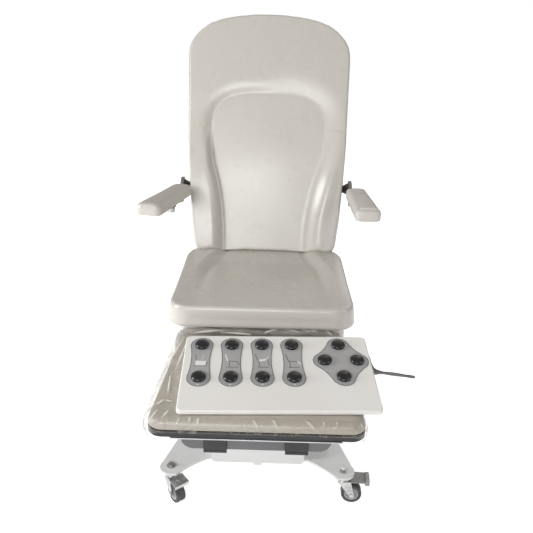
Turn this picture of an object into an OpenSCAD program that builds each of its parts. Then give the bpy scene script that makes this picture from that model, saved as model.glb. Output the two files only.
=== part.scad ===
// Medical examination chair on a castor base, with its foot control lying on the leg rest.
// It faces -Y, stands on z = 0 and is drawn at its lowest height with the backrest up.

/* [Seat] */
// Width of the seat cushion
seat_w = 578; // [480:2:640]
// Depth of the seat cushion, front to rear
seat_depth = 482; // [420:2:540]
// Height of the seat surface above the floor
seat_top_z = 554; // [540:1:620]
// Thickness of the seat cushion
seat_pad_t = 70; // [50:1:90]
// Rise of the seat bolsters at the rear
seat_bolster = 20; // [8:1:24]
// Radius of the seat's plan corners
seat_corner_r = 62; // [30:1:90]
// Radius of the cushion's rolled edge
seat_edge_r = 26; // [12:1:32]

/* [Backrest] */
// Length of the backrest cushion
back_len = 832; // [700:2:900]
// Widest width of the backrest cushion
back_w = 590; // [500:2:640]
// Width of the backrest cushion at its lower end
back_low_w = 526; // [460:2:580]
// Thickness of the backrest cushion under the channel
back_pad_t = 72; // [55:1:90]
// Height of the side bolsters above the channel
back_bolster = 26; // [10:1:34]
// Recline of the backrest from upright, in degrees
recline = 13.3; // [8:0.1:20]
// Radius of the backrest's shoulders
shoulder_r = 98; // [60:1:120]
// Thickness of the moulded rear shell
back_shell_t = 20; // [14:1:30]

/* [Leg rest] */
// Length of the leg rest cushion
leg_len = 425; // [360:1:450]
// Width of the leg rest at the seat
leg_rear_w = 494; // [440:2:520]
// Width of the leg rest at its front edge
leg_front_w = 534; // [480:2:560]
// Thickness of the leg rest cushion
leg_pad_t = 30; // [20:1:40]
// Thickness of the black carrier board under the cushion
leg_board_t = 16; // [10:1:20]
// Thickness of the steel plate under the board
leg_plate_t = 3; // [2:0.5:5]
// Slope of the leg rest down to the front, in degrees
leg_slope = 2.3; // [0:0.1:5]

/* [Tray] */
// Width of the pull-out tray
tray_w = 356; // [280:2:380]
// Depth of the pull-out tray, front to rear
tray_depth = 250; // [200:2:270]
// Height of the pull-out tray
tray_h = 34; // [24:1:38]
// Wall of the tray
tray_wall = 3; // [2:0.5:5]

/* [Armrests] */
// Length of an armrest pad
arm_len = 300; // [240:2:330]
// Width of an armrest pad at its front end
arm_w = 80; // [60:1:90]
// Width of an armrest pad at its rear end
arm_rear_w = 68; // [50:1:80]
// Thickness of an armrest pad
arm_pad_t = 38; // [26:1:46]
// Turn of the left armrest outwards, in degrees
left_turn = 12; // [0:1:20]
// Turn of the right armrest outwards, in degrees
right_turn = 0; // [0:1:20]

/* [Lifting column] */
// Width of the outer column profile
column_w = 156; // [130:2:190]
// Depth of the outer column profile
column_d = 132; // [110:2:160]
// Wall of the column profiles
column_wall = 5; // [4:0.5:7]
// Length of the outer column profile
column_len = 262; // [220:2:270]

/* [Base] */
// Distance between the castor stems, left to right
castor_track = 512; // [460:2:560]
// Distance between the castor stems, front to rear
wheelbase = 600; // [540:5:660]
// Height of the base plate's top face
plate_z = 105; // [100:1:125]
// Thickness of the base plate
plate_t = 8; // [6:1:12]
// Radius of the round lobe over each castor
lobe_r = 33; // [28:1:40]
// Half width of the base plate at its waist
waist_half = 208; // [180:2:230]

/* [Castors] */
// Radius of a castor wheel
wheel_r = 31; // [26:1:34]
// Width of a castor wheel
wheel_w = 30; // [20:1:34]
// Trail of the wheel axle behind the stem
castor_trail = 28; // [20:1:32]
// Radius of the castor axle
axle_r = 4; // [3:0.5:6]
// Thickness of the fork's sheet steel
fork_t = 2.5; // [2:0.5:4]

/* [Foot control] */
// Width of the foot control housing
control_w = 500; // [440:2:540]
// Depth of the foot control housing, front to rear
control_depth = 275; // [240:1:300]
// Height of the housing's front edge
control_front_h = 9; // [7:1:20]
// Slope of the housing's top face, in degrees
control_slope = 9.5; // [6:0.5:12]
// Wall of the foot control housing
control_wall = 3; // [2:0.5:4]
// Radius of a push button
button_r = 17; // [12:0.5:20]
// Travel of a push button
button_travel = 3; // [2:0.5:4]
// Distance between neighbouring key panels
panel_pitch = 81.5; // [72:0.5:90]
// Width of a key panel
panel_w = 62; // [50:1:70]
// Distance between the two buttons of a key panel
button_gap = 124; // [104:1:140]

/* [Hidden] */

$fn = 48;
cut = 1;
gap = 0.3;
run = 0.05;
soft_gap = 0.4;

// The frame's origin is under the middle of the whole chair's box. The turned-out left
// armrest moves that middle left of the chair's own centre plane.
left_reach = 382;
right_reach = 352;
frame_x = (right_reach - left_reach) / 2;
front_reach = 238;
rear_reach = 904;
frame_y = (rear_reach - front_reach) / 2;

// Seat places
seat_front_y = 150;
seat_rear_y = seat_front_y + seat_depth;
seat_under_z = seat_top_z - seat_pad_t;
seat_crown = 6;
seat_rear_rise = 3;
skirt_t = 2;
skirt_h = 88;
skirt_half = 258;
skirt_set_in = 46;
skirt_set_out = 8;
skirt_front_y = seat_front_y + skirt_set_in;
skirt_rear_y = seat_rear_y - skirt_set_out;
skirt_corner_r = 22;
board_t = 10;
rail_h = 36;
rail_t = 26;
rail_top_z = seat_under_z - board_t - gap;
rail_z = rail_top_z - rail_h;
rail_x = skirt_half - skirt_t - gap - rail_t;
frame_front_y = skirt_front_y + skirt_t + gap;
frame_rear_y = skirt_rear_y - skirt_t - gap;

// Backrest places
back_y = 627;
back_rise = 17;
back_z = seat_top_z + back_rise;
back_gap = 6;
back_len_top = back_gap + back_len;
back_plate_y = back_pad_t;
shell_inset = 8;
frame_bar = 25;
frame_bar_x = 186;
frame_bar_len = 560;
frame_plate_t = 8;
hinge_y = back_y + 28;
hinge_z = back_z - 31;
pin_r = 7;
hinge_set_in = 12;
hinge_x = frame_bar_x - hinge_set_in;
hinge_boss_r = 15;
ear_t = 8;

// Leg rest places
leg_front_y = -245;
leg_front_z = 445.4;
leg_corner_r = 38;
leg_edge_r = 12;
leg_crown = 2;
board_inset = 2;
plate_inset = 9;
leg_under = leg_pad_t + leg_board_t + leg_plate_t;
leg_hinge_y = 176;
leg_hinge_z = 398;
leg_ear_x = 150;
leg_boss_r = 11;

// Lever arms and actuators
lever_t = 6;
lever_pin_r = 5;
rod_r = 7;
eye_r = 12;
eye_w = 14;
barrel_r = 21;
barrel_end = 30;
motor_r = 19;
motor_len = 96;
back_act_x = 112;
back_lever = [110, -47];
back_tail = [385, 268];
back_barrel = 270;
back_rod_len = 215;
back_stroke = 141.5;
leg_act_x = -112;
leg_lever = [-22, -56];
leg_tail = [520, 372];
leg_barrel = 270;
leg_rod_len = 140;
leg_stroke = 38.5;
bore_spare = 8;
side_play = 0.5;

// Tray and its runners
tray_corner_r = 42;
tray_front_d = 14;
tray_gap = 1;
runner_h = 9;
runner_t = 3;
tray_lip = 6;
clip_w = 56;
clip_x = 98;
clip_t = 5;
clip_drop = 6;

// Column stages
stage_gap = 0.5;
stage_step = column_wall + stage_gap;
column_y = wheelbase / 2;
column_corner_r = 20;
column_z = plate_z;
stage_rise = 8;
head_t = 8;
head_w = 176;
head_d = 150;
tilt_drop = 34;
tilt_z = rail_top_z - tilt_drop;
tilt_ear_x = 66;
tilt_bar_h = 16;
tilt_lug_x = tilt_ear_x - ear_t - side_play;

// Base details
arch_r = 300;
arch_y = 82;
cover_half = 142;
cover_front_y = 44;
cover_rear_y = 520;
cover_h = 46;
cover_wall = 2.5;
cover_r = 20;
lip_drop = 16;
lip_h = lip_drop + cover_h;
lip_t = 3;
lip_r = 14;
tab_w = 24;
tab_h = 8;
stem_r = 6;
washer_r = 13;
washer_t = 2.5;
bolt_head_r = 9;
bolt_head_h = 6;
inlet_w = 48;
inlet_h = 28;
inlet_t = 12;
inlet_hole_w = 27;
inlet_hole_h = 20;
inlet_depth = 9;
inlet_pin_r = 2;

// Castor details
castor_h = plate_z - plate_t;
hub_r = 21;
hub_step = 2;
tyre_groove = 1.2;
cap_r = 23;
cap_h = 12;
bridge_back = 16;
axle_nut_r = 6.5;
hub_rim = 10;
fork_gap = 2.2;
race_r = 17;
race_h = 5;
brake_len = 64;
brake_w = 46;
brake_t = 2.5;
brake_pin_r = 2.5;
brake_drop = 3;
pedal_w = 46;
pedal_h = 26;
pedal_t = 11;
front_left_turn = -52;
front_right_turn = -3;
rear_left_turn = 62;
rear_right_turn = 118;

// Armrest places, from the hinge at the backrest's side
arm_hinge_y = 676;
arm_hinge_z = 802;
arm_play = 5;
arm_inner_x = back_w / 2 + arm_play;
arm_t = 10;
arm_h = 46;
arm_hub_r = 30;
arm_pin_r = 8;
arm_post_y = 430;
arm_top_z = 843;
arm_pad_x = 310;
arm_post_r = 8;
arm_plate_t = 4;
arm_plate_w = 44;
arm_plate_len = 190;
arm_tongue_t = 8;
arm_tongue_w = 40;
arm_pad_rear = 126;
arm_corner_r = 16;
arm_edge_r = 10;
knob_r = 16;
knob_h = 14;
knob_neck = 3;
arm_mount_w = 40;

// Foot control places, in the leg rest's own plane
control_x = 56;
control_d = 35;
control_turn = 2.4;
control_bevel = 3;
control_corner_r = 12;
control_foot_h = 3;
control_foot_r = 9;
control_foot_in = 34;
panel_t = 1.2;
panel_waist = 44;
panel_first_x = -204;
panel_mid_share = 0.63;
cross_mid_share = 0.64;
cross_x = 169;
cross_pad_r = 31;
cross_dx = 43.5;
cross_dd = 61;
button_dome = 7;
button_rim = 2.4;
button_play = 0.6;
gland_r = 6;
gland_flange_r = 9;
gland_flange_t = 2;

// Cord, hank and plug, in the leg rest's own plane
cord_r = 3.5;
cord_sides = 8;
hank_half = 74;
hank_r = 33;
hank_turns = 3.25;
hank_peak = 2;
hank_climb_shares = [1.88, 2.2];
hank_rings = 24;
hank_step = 7.8;
hank_x = 96;
hank_d = 359;
hank_sides = 6;
plug_r = 11;
plug_len = 44;
plug_neck_r = 6;
plug_neck_len = 14;
plug_ring_len = 10;
plug_pin_r = 1.5;
plug_pin_len = 9;
cord_points = [
    [315.5, 197, 20], [331, 197.6, 20], [348, 197.6, 19.5], [366, 196.5, 18], [384, 195, 15.5],
    [400, 194, 12.5], [411, 198, 9], [416, 206, 4], [412, 214, 0], [402, 219, -2], [386, 220, -2],
    [368, 220, 0], [350, 220, 2], [334, 221, 5], [320, 224, 7], [312, 233, 7], [309, 249, 6],
    [308, 265, 5], [308, 283, 5], [308, 300, 4.5], [306, 314, 4], [298, 325, 4], [284, 329.5, 4],
    [264, 330.5, 4], [246, 329, 4], [228, 327.5, 4], [210, 326.5, 4], [194, 326, 4], [178, 326, 4]
];

cord_start = cord_points[0];

// Shared frames: the whole chair, the reclined backrest and the sloping leg rest
module in_frame() {
    translate([-frame_x, -frame_y, 0])
    children();
}

module back_local() {
    in_frame()
    translate([0, back_y, back_z])
    rotate([-recline, 0, 0])
    children();
}

module leg_local() {
    in_frame()
    translate([0, leg_front_y, leg_front_z])
    rotate([leg_slope, 0, 0])
    children();
}

module control_local() {
    leg_local()
    translate([control_x, control_d, 0])
    rotate([0, 0, control_turn])
    children();
}

module control_top() {
    control_local()
    translate([0, 0, control_foot_h + control_front_h])
    rotate([control_slope, 0, 0])
    children();
}

module both_sides() {
    for (side = [0, 1])
        mirror([side, 0, 0])
        children();
}

// A bar along X with its middle on the centre plane
module cross_bar(half, y, z, depth, height) {
    translate([-half, y, z])
    cube([2 * half, depth, height]);
}

// A cylinder along X that starts at x = from
module x_rod(from, length, r) {
    translate([from, 0, 0])
    rotate([0, 90, 0])
    cylinder(r = r, h = length);
}

// A flat plate in the YZ plane, from x = from, with its outline given as [y, z] points
module side_plate(from, thickness, points) {
    translate([from, 0, 0])
    rotate([90, 0, 90])
    linear_extrude(thickness)
    polygon(points);
}

// Soft step from 0 to 1
function ease(t) =
    let (c = min(1, max(0, t)))
    c * c * (3 - 2 * c);

function unit(v) = v / norm(v);

// Points of a rounded corner at p, for an outline that turns left
function corner_arc(prev, p, next, r, steps) =
    let (
        a = unit(prev - p),
        b = unit(next - p),
        half = acos(a * b) / 2,
        c = p + unit(a + b) * r / sin(half),
        s = p + a * r / tan(half) - c,
        start = atan2(s.y, s.x),
        sweep = 180 - 2 * half
    )
    [for (i = [0:steps]) c + r * [cos(start + sweep * i / steps), sin(start + sweep * i / steps)]];

// Outline through rounded corners, with each straight side cut into equal parts
function round_path(pts, radii, steps, parts) =
    let (k = len(pts))
    [
        for (i = [0:k - 1])
        let (
            arc = corner_arc(pts[(i + k - 1) % k], pts[i], pts[(i + 1) % k], radii[i], steps),
            next = corner_arc(pts[i], pts[(i + 1) % k], pts[(i + 2) % k], radii[(i + 1) % k], steps),
            leap = next[0] - arc[steps]
        )
        each concat(arc, [for (j = [1:parts - 1]) arc[steps] + leap * j / parts])
    ];

// Corner points of a rectangle or trapezoid standing on y = y0, widths given at both ends
function trapezoid(low_w, high_w, y0, y1) =
    [[-low_w / 2, y0], [low_w / 2, y0], [high_w / 2, y1], [-high_w / 2, y1]];

function same(value, count) = [for (i = [1:count]) value];

// A stuffed cushion on z = 0: the side draws in at the foot, the edge is rolled,
// and the top follows the height function
drawn_in_share = 0.012;
side_mid_share = 0.42;
roll_steps = 3;
inner_shares = [0.93, 0.84, 0.74, 0.64, 0.54, 0.42, 0.24];
module cushion(outline, edge, top, shares = inner_shares) {
    n = len(outline);
    low = [min([for (p = outline) p.x]), min([for (p = outline) p.y])];
    high = [max([for (p = outline) p.x]), max([for (p = outline) p.y])];
    mid = (low + high) / 2;
    half = (high - low) / 2;
    inset = function(p, e) [
        mid.x + (p.x - mid.x) * (1 - e / half.x),
        mid.y + (p.y - mid.y) * (1 - e / half.y)
    ];
    draw = half.x * drawn_in_share;
    foot = [for (p = outline) let (q = inset(p, draw)) [q.x, q.y, 0]];
    waist = [for (p = outline) [p.x, p.y, (top(p.x, p.y) - edge) * side_mid_share]];
    roll = [
        for (k = [0:roll_steps])
        let (a = 90 * k / roll_steps)
        [for (p = outline)
            let (q = inset(p, edge * (1 - cos(a))))
            [q.x, q.y, top(q.x, q.y) - edge * (1 - sin(a))]]
    ];
    rim = roll[roll_steps];
    field = [
        for (s = shares)
        [for (p = rim)
            let (x = mid.x + (p.x - mid.x) * s, y = mid.y + (p.y - mid.y) * s)
            [x, y, top(x, y)]]
    ];
    rings = concat([foot, waist], roll, field);
    count = len(rings);
    points = concat(
        [[mid.x, mid.y, 0]],
        [for (r = rings) each r],
        [[mid.x, mid.y, top(mid.x, mid.y)]]
    );
    last = len(points) - 1;
    sides = [
        for (r = [0:count - 2], i = [0:n - 1])
        let (a = 1 + r * n + i, b = 1 + r * n + (i + 1) % n)
        each [[a, a + n, b], [b, a + n, b + n]]
    ];
    floor_faces = [for (i = [0:n - 1]) [0, 1 + i, 1 + (i + 1) % n]];
    top_first = 1 + (count - 1) * n;
    top_faces = [for (i = [0:n - 1]) [last, top_first + (i + 1) % n, top_first + i]];
    polyhedron(points, concat(sides, floor_faces, top_faces), convexity = 6);
}

// A round tube swept along a path of points
function path_way(path, i) =
    unit(path[min(i + 1, len(path) - 1)] - path[max(i - 1, 0)]);
module tube(path, r, sides) {
    n = len(path);
    rings = [
        for (i = [0:n - 1])
        let (
            way = path_way(path, i),
            across = unit(cross(way, [0, 0, 1])),
            up = cross(across, way)
        )
        each [
            for (k = [0:sides - 1]) let (turn = 360 * k / sides)
                path[i] + r * (across * cos(turn) + up * sin(turn))
        ]
    ];
    points = concat([path[0]], rings, [path[n - 1]]);
    last = len(points) - 1;
    walls = [
        for (i = [0:n - 2], k = [0:sides - 1])
        let (a = 1 + i * sides + k, b = 1 + i * sides + (k + 1) % sides)
        each [[a, b, a + sides], [b, b + sides, a + sides]]
    ];
    ends = [
        for (k = [0:sides - 1])
        each [
            [0, 1 + (k + 1) % sides, 1 + k],
            [last, last - sides + k, last - sides + (k + 1) % sides]
        ]
    ];
    polyhedron(points, concat(walls, ends), convexity = 10);
}

// Rounded rectangle about the origin
module round_rect(w, d, r) {
    for (x = [-w / 2 + r, w / 2 - r], y = [-d / 2 + r, d / 2 - r])
        translate([x, y])
        circle(r);
    square([w - 2 * r, d], center = true);
    square([w, d - 2 * r], center = true);
}

// Base: plate, cover, column foot and inlet
stems = [
    [-castor_track / 2, 0], [castor_track / 2, 0],
    [-castor_track / 2, wheelbase], [castor_track / 2, wheelbase]
];
plate_half = [
    [castor_track / 2, -lobe_r], [castor_track / 2 + lobe_r, 0], [waist_half, wheelbase / 2],
    [castor_track / 2 + lobe_r, wheelbase], [castor_track / 2, wheelbase + lobe_r]
];
plate_points = concat(
    plate_half,
    [for (i = [len(plate_half) - 1:-1:0]) [-plate_half[i].x, plate_half[i].y]]
);

module base_plate() {
    color("gainsboro")
    in_frame()
    translate([0, 0, plate_z - plate_t])
    difference() {
        linear_extrude(plate_t)
        difference() {
            union() {
                polygon(plate_points);
                for (p = stems)
                    translate(p)
                    circle(lobe_r);
            }
            translate([0, arch_y - arch_r])
            circle(arch_r);
            translate([0, wheelbase - arch_y + arch_r])
            circle(arch_r);
        }
        for (p = stems)
            translate([p.x, p.y, -cut])
            cylinder(r = stem_r, h = plate_t + 2 * cut);
    }
}

cover_d = cover_rear_y - cover_front_y;
cover_y = (cover_front_y + cover_rear_y) / 2;
module base_cover() {
    color("white")
    in_frame() {
        difference() {
            translate([0, cover_y, plate_z])
            linear_extrude(cover_h)
            round_rect(2 * cover_half, cover_d, cover_r);
            translate([0, cover_y, plate_z - cut])
            linear_extrude(cover_h - cover_wall + cut)
            round_rect(2 * (cover_half - cover_wall), cover_d - 2 * cover_wall, cover_r - cover_wall);
            translate([0, column_y, plate_z])
            linear_extrude(cover_h + cut)
            round_rect(column_w + 2 * gap, column_d + 2 * gap, column_corner_r + gap);
            translate([-inlet_w / 2 - gap, cover_rear_y - cover_wall - cut, plate_z + cover_wall])
            cube([inlet_w + 2 * gap, cover_wall + 2 * cut, inlet_h + 2 * gap]);
        }
        translate([0, cover_front_y, plate_z - lip_drop])
        rotate([90, 0, 0])
        linear_extrude(lip_t) {
            translate([0, lip_h / 2])
            round_rect(2 * cover_half, lip_h, lip_r);
            translate([-tab_w / 2, -tab_h])
            square([tab_w, tab_h + lip_r]);
        }
    }
}

// Each castor hangs on its own bolt, with a washer under the head and a nut below
nut_r = 10;
nut_h = 6;
bolt_foot_z = castor_h - race_h - cap_h - fork_t - gap - nut_h;
module castor_bolts() {
    color("silver")
    in_frame()
    for (p = stems)
        translate([p.x, p.y, 0]) {
            translate([0, 0, plate_z])
            cylinder(r = washer_r, h = washer_t);
            translate([0, 0, plate_z + washer_t])
            cylinder(r = bolt_head_r, h = bolt_head_h, $fn = 6);
            translate([0, 0, bolt_foot_z])
            cylinder(r = stem_r - run, h = plate_z + washer_t - bolt_foot_z);
            translate([0, 0, bolt_foot_z])
            cylinder(r = nut_r, h = nut_h, $fn = 6);
        }
}

module mains_inlet() {
    pin_gap = inlet_hole_w / 4;
    color("dimgray")
    in_frame()
    translate([0, cover_rear_y + cover_wall, plate_z + cover_wall + gap + inlet_h / 2])
    rotate([90, 0, 0]) {
        difference() {
            translate([-inlet_w / 2, -inlet_h / 2, 0])
            cube([inlet_w, inlet_h, inlet_t + cover_wall]);
            translate([-inlet_hole_w / 2, -inlet_hole_h / 2, -cut])
            cube([inlet_hole_w, inlet_hole_h, inlet_depth + cut]);
        }
        for (x = [-pin_gap, 0, pin_gap])
            translate([x, 0, inlet_pin_r])
            cylinder(r = inlet_pin_r, h = inlet_depth);
    }
}

// One stage of the telescopic column, by its order from the outside
module column_stage(order, foot_z, top_z) {
    w = column_w - 2 * order * stage_step;
    d = column_d - 2 * order * stage_step;
    r = column_corner_r - order * stage_step;
    in_frame()
    translate([0, column_y, foot_z])
    linear_extrude(top_z - foot_z)
    difference() {
        round_rect(w, d, r);
        round_rect(w - 2 * column_wall, d - 2 * column_wall, r - column_wall);
    }
}

column_top_z = column_z + column_len;
head_z = column_top_z + 2 * stage_rise;

module column_outer() {
    color("silver")
    column_stage(0, column_z, column_top_z);
}

module column_middle() {
    color("lightgray")
    column_stage(1, column_z + stage_rise, column_top_z + stage_rise);
}

// The innermost stage carries the head plate with two ears for the tilt pin
module column_inner() {
    ear_w = head_d / 2;
    ear_points = [
        [-ear_w / 2, 0], [ear_w / 2, 0],
        [hinge_boss_r, tilt_z - head_z - head_t], [-hinge_boss_r, tilt_z - head_z - head_t]
    ];
    color("gainsboro") {
        column_stage(2, column_z + 2 * stage_rise, head_z);
        in_frame()
        translate([0, column_y, head_z]) {
            difference() {
                linear_extrude(head_t)
                round_rect(head_w, head_d, column_corner_r);
                translate([0, 0, -cut])
                linear_extrude(head_t + 2 * cut)
                round_rect(head_w / 4, head_d / 4, arm_edge_r);
            }
            both_sides()
            difference() {
                union() {
                    side_plate(tilt_ear_x, ear_t, [for (p = ear_points) [p.x, p.y + head_t]]);
                    translate([0, 0, tilt_z - head_z])
                    x_rod(tilt_ear_x, ear_t, hinge_boss_r);
                }
                translate([0, 0, tilt_z - head_z])
                x_rod(tilt_ear_x - cut, ear_t + 2 * cut, pin_r);
            }
        }
    }
}

// Seat: frame with its board, ears and lugs
function bar_points(y0, y1, z0, z1) = [[y0, z0], [y1, z0], [y1, z1], [y0, z1]];
tilt_bar_z = rail_top_z - tilt_bar_h;
board_half = skirt_half - skirt_t - gap;
frame_d = frame_rear_y - frame_front_y;
frame_corner_r = skirt_corner_r - skirt_t - gap;
skirt_y = (skirt_front_y + skirt_rear_y) / 2;
back_ear = [
    [frame_rear_y - rail_t, rail_z], [seat_rear_y + ear_t, rail_z],
    [hinge_y + hinge_boss_r, hinge_z], [hinge_y - hinge_boss_r, hinge_z],
    [seat_rear_y + ear_t / 2, seat_under_z], [seat_rear_y + ear_t / 2, rail_top_z],
    [frame_rear_y - rail_t, rail_top_z]
];
leg_ear = [
    [frame_front_y + rail_t, rail_z], [frame_front_y + rail_t, rail_top_z],
    [frame_front_y, rail_top_z], [frame_front_y, rail_z],
    [leg_hinge_y, leg_hinge_z + leg_boss_r], [leg_hinge_y - leg_boss_r, leg_hinge_z],
    [leg_hinge_y + leg_boss_r, leg_hinge_z - leg_boss_r / 2]
];
back_hanger = [
    [column_y - rail_t / 2, tilt_bar_z], [column_y + rail_t / 2, tilt_bar_z],
    [back_tail.x + eye_r, back_tail.y], [back_tail.x, back_tail.y - eye_r],
    [back_tail.x - eye_r, back_tail.y]
];
leg_hanger = [
    [leg_tail.x - rail_t / 2, rail_z], [leg_tail.x + rail_t / 2, rail_z],
    [leg_tail.x + eye_r, leg_tail.y], [leg_tail.x, leg_tail.y - eye_r],
    [leg_tail.x - eye_r, leg_tail.y]
];
fork_in = eye_w / 2 + side_play;

// Two plates on either side of an actuator's eye
module clevis_plates(x, points) {
    side_plate(x - fork_in - lever_t, lever_t, points);
    side_plate(x + fork_in, lever_t, points);
}

module seat_frame() {
    color("dimgray")
    in_frame()
    difference() {
        union() {
            translate([0, skirt_y, rail_z])
            linear_extrude(rail_h)
            difference() {
                round_rect(2 * board_half, frame_d, frame_corner_r);
                square([2 * rail_x, frame_d - 2 * rail_t], center = true);
            }
            translate([0, skirt_y, rail_top_z])
            linear_extrude(board_t)
            round_rect(2 * board_half, frame_d, frame_corner_r);
            cross_bar(rail_x, leg_tail.x - rail_t / 2, rail_z, rail_t, rail_h);
            cross_bar(rail_x, column_y - rail_t / 2, tilt_bar_z, rail_t, tilt_bar_h);
            both_sides() {
                side_plate(hinge_x, ear_t, back_ear);
                translate([0, hinge_y, hinge_z])
                x_rod(hinge_x, ear_t, hinge_boss_r);
                side_plate(leg_ear_x, ear_t, leg_ear);
                translate([0, leg_hinge_y, leg_hinge_z])
                x_rod(leg_ear_x, ear_t, leg_boss_r);
                side_plate(
                    tilt_lug_x, ear_t,
                    bar_points(column_y - hinge_boss_r, column_y + hinge_boss_r, tilt_z, rail_top_z)
                );
                translate([0, column_y, tilt_z])
                x_rod(tilt_lug_x, ear_t, hinge_boss_r);
            }
            clevis_plates(back_act_x, back_hanger);
            clevis_plates(leg_act_x, leg_hanger);
        }
        both_sides() {
            translate([0, hinge_y, hinge_z])
            x_rod(hinge_x - cut, ear_t + 2 * cut, pin_r);
            translate([0, leg_hinge_y, leg_hinge_z])
            x_rod(leg_ear_x - cut, ear_t + 2 * cut, lever_pin_r);
            translate([0, column_y, tilt_z])
            x_rod(tilt_lug_x - cut, ear_t + 2 * cut, pin_r);
        }
    }
}

// Painted box wall round the seat frame, notched for the ears and the actuator
skirt_z = seat_under_z - gap - skirt_h;
skirt_d = skirt_rear_y - skirt_front_y;
notch = ear_t / 4;
module skirt_notch(x, w, y, top_z) {
    translate([x - notch, y - skirt_t - cut, skirt_z - cut])
    cube([w + 2 * notch, 2 * (skirt_t + cut), top_z - skirt_z + cut]);
}

module seat_skirt() {
    color("white")
    in_frame()
    difference() {
        translate([0, skirt_y, skirt_z])
        linear_extrude(skirt_h)
        difference() {
            round_rect(2 * skirt_half, skirt_d, skirt_corner_r);
            round_rect(2 * (skirt_half - skirt_t), skirt_d - 2 * skirt_t, skirt_corner_r - skirt_t);
        }
        both_sides() {
            skirt_notch(leg_ear_x, ear_t, skirt_front_y, rail_top_z + notch);
            skirt_notch(hinge_x, ear_t, skirt_rear_y, rail_top_z + notch);
        }
        skirt_notch(back_act_x - barrel_r - fork_in, 2 * (barrel_r + fork_in), skirt_rear_y, rail_z);
    }
}

// The seat cushion: a flat middle between bolsters that fade out towards the waterfall front
seat_points = [
    [-seat_w / 2, 0], [seat_w / 2, 0], [seat_w / 2, seat_depth], [-seat_w / 2, seat_depth]
];
seat_inner_shares = [[0, 0.74], [0.5, 0.67], [0.8, 0.58], [1, 0.49]];
seat_step_share = 0.2;
seat_fade_share = 0.12;
function seat_height(x, y) =
    let (
        u = abs(x) / (seat_w / 2),
        v = y / seat_depth,
        side = ease((u - lookup(v, seat_inner_shares)) / seat_step_share),
        rise = seat_bolster * ease((v - seat_fade_share) / (1 - seat_fade_share))
    )
    seat_pad_t - seat_crown * (1 - u * u) * ease(v) * (1 - v) + seat_rear_rise * v + rise * side;

module seat_cushion() {
    color("linen")
    in_frame()
    translate([0, seat_front_y, seat_under_z])
    cushion(
        round_path(seat_points, same(seat_corner_r, 4), 5, 6),
        seat_edge_r,
        function(x, y) seat_height(x, y)
    );
}

// Hinge pins, each as long as the plates that it joins
module hinge_pins() {
    color("silver")
    in_frame()
    both_sides() {
        translate([0, column_y, tilt_z])
        x_rod(tilt_lug_x, tilt_ear_x - tilt_lug_x + ear_t, pin_r - run);
        translate([0, hinge_y, hinge_z])
        x_rod(hinge_x, ear_t + side_play + frame_plate_t, pin_r - run);
        translate([0, leg_hinge_y, leg_hinge_z])
        x_rod(leg_ear_x, ear_t + side_play + lever_t, lever_pin_r - run);
    }
}

// Places of the hinges and levers in the backrest's and the leg rest's own planes
function turned(v, a) = [v.x * cos(a) - v.y * sin(a), v.x * sin(a) + v.y * cos(a)];
function in_back(p) = turned(p - [back_y, back_z], recline);
function in_leg(p) = turned(p - [leg_front_y, leg_front_z], -leg_slope);
hinge_in_back = in_back([hinge_y, hinge_z]);
back_pull = [hinge_y, hinge_z] + back_lever;
pull_in_back = in_back(back_pull);
arm_in_back = in_back([arm_hinge_y, arm_hinge_z]);
hinge_in_leg = in_leg([leg_hinge_y, leg_hinge_z]);
leg_pull = [leg_hinge_y, leg_hinge_z] + leg_lever;
pull_in_leg = in_leg(leg_pull);

// Backrest: tube frame with hinge plates, a lever for the actuator and armrest brackets
bar_y = back_plate_y + back_shell_t + gap;
bar_z = back_gap + shell_inset / 2;
bar_top_z = bar_z + frame_bar_len;
arm_bar_z = arm_in_back.y - frame_bar / 2;
hinge_plate = [
    [hinge_in_back.x - hinge_boss_r, hinge_in_back.y],
    [hinge_in_back.x, hinge_in_back.y - hinge_boss_r],
    [bar_y, hinge_in_back.y - hinge_boss_r / 2],
    [bar_y + frame_bar, bar_z], [bar_y + frame_bar, bar_z + 2 * frame_bar],
    [bar_y, bar_z + 2 * frame_bar], [bar_y, back_gap / 2],
    [hinge_in_back.x + hinge_boss_r, hinge_in_back.y + hinge_boss_r / 2]
];
back_pull_plate = [
    [bar_y, bar_z], [pull_in_back.x - eye_r, pull_in_back.y],
    [pull_in_back.x, pull_in_back.y - eye_r], [pull_in_back.x + eye_r, pull_in_back.y],
    [bar_y + frame_bar, bar_z + frame_bar], [bar_y, bar_z + frame_bar]
];
arm_mount_x = arm_inner_x - gap - lever_t;
arm_bracket = [
    [arm_in_back.x, arm_in_back.y - arm_mount_w / 2], [bar_y + frame_bar, arm_bar_z],
    [bar_y + frame_bar, arm_bar_z + frame_bar], [arm_in_back.x, arm_in_back.y + arm_mount_w / 2]
];

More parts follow.
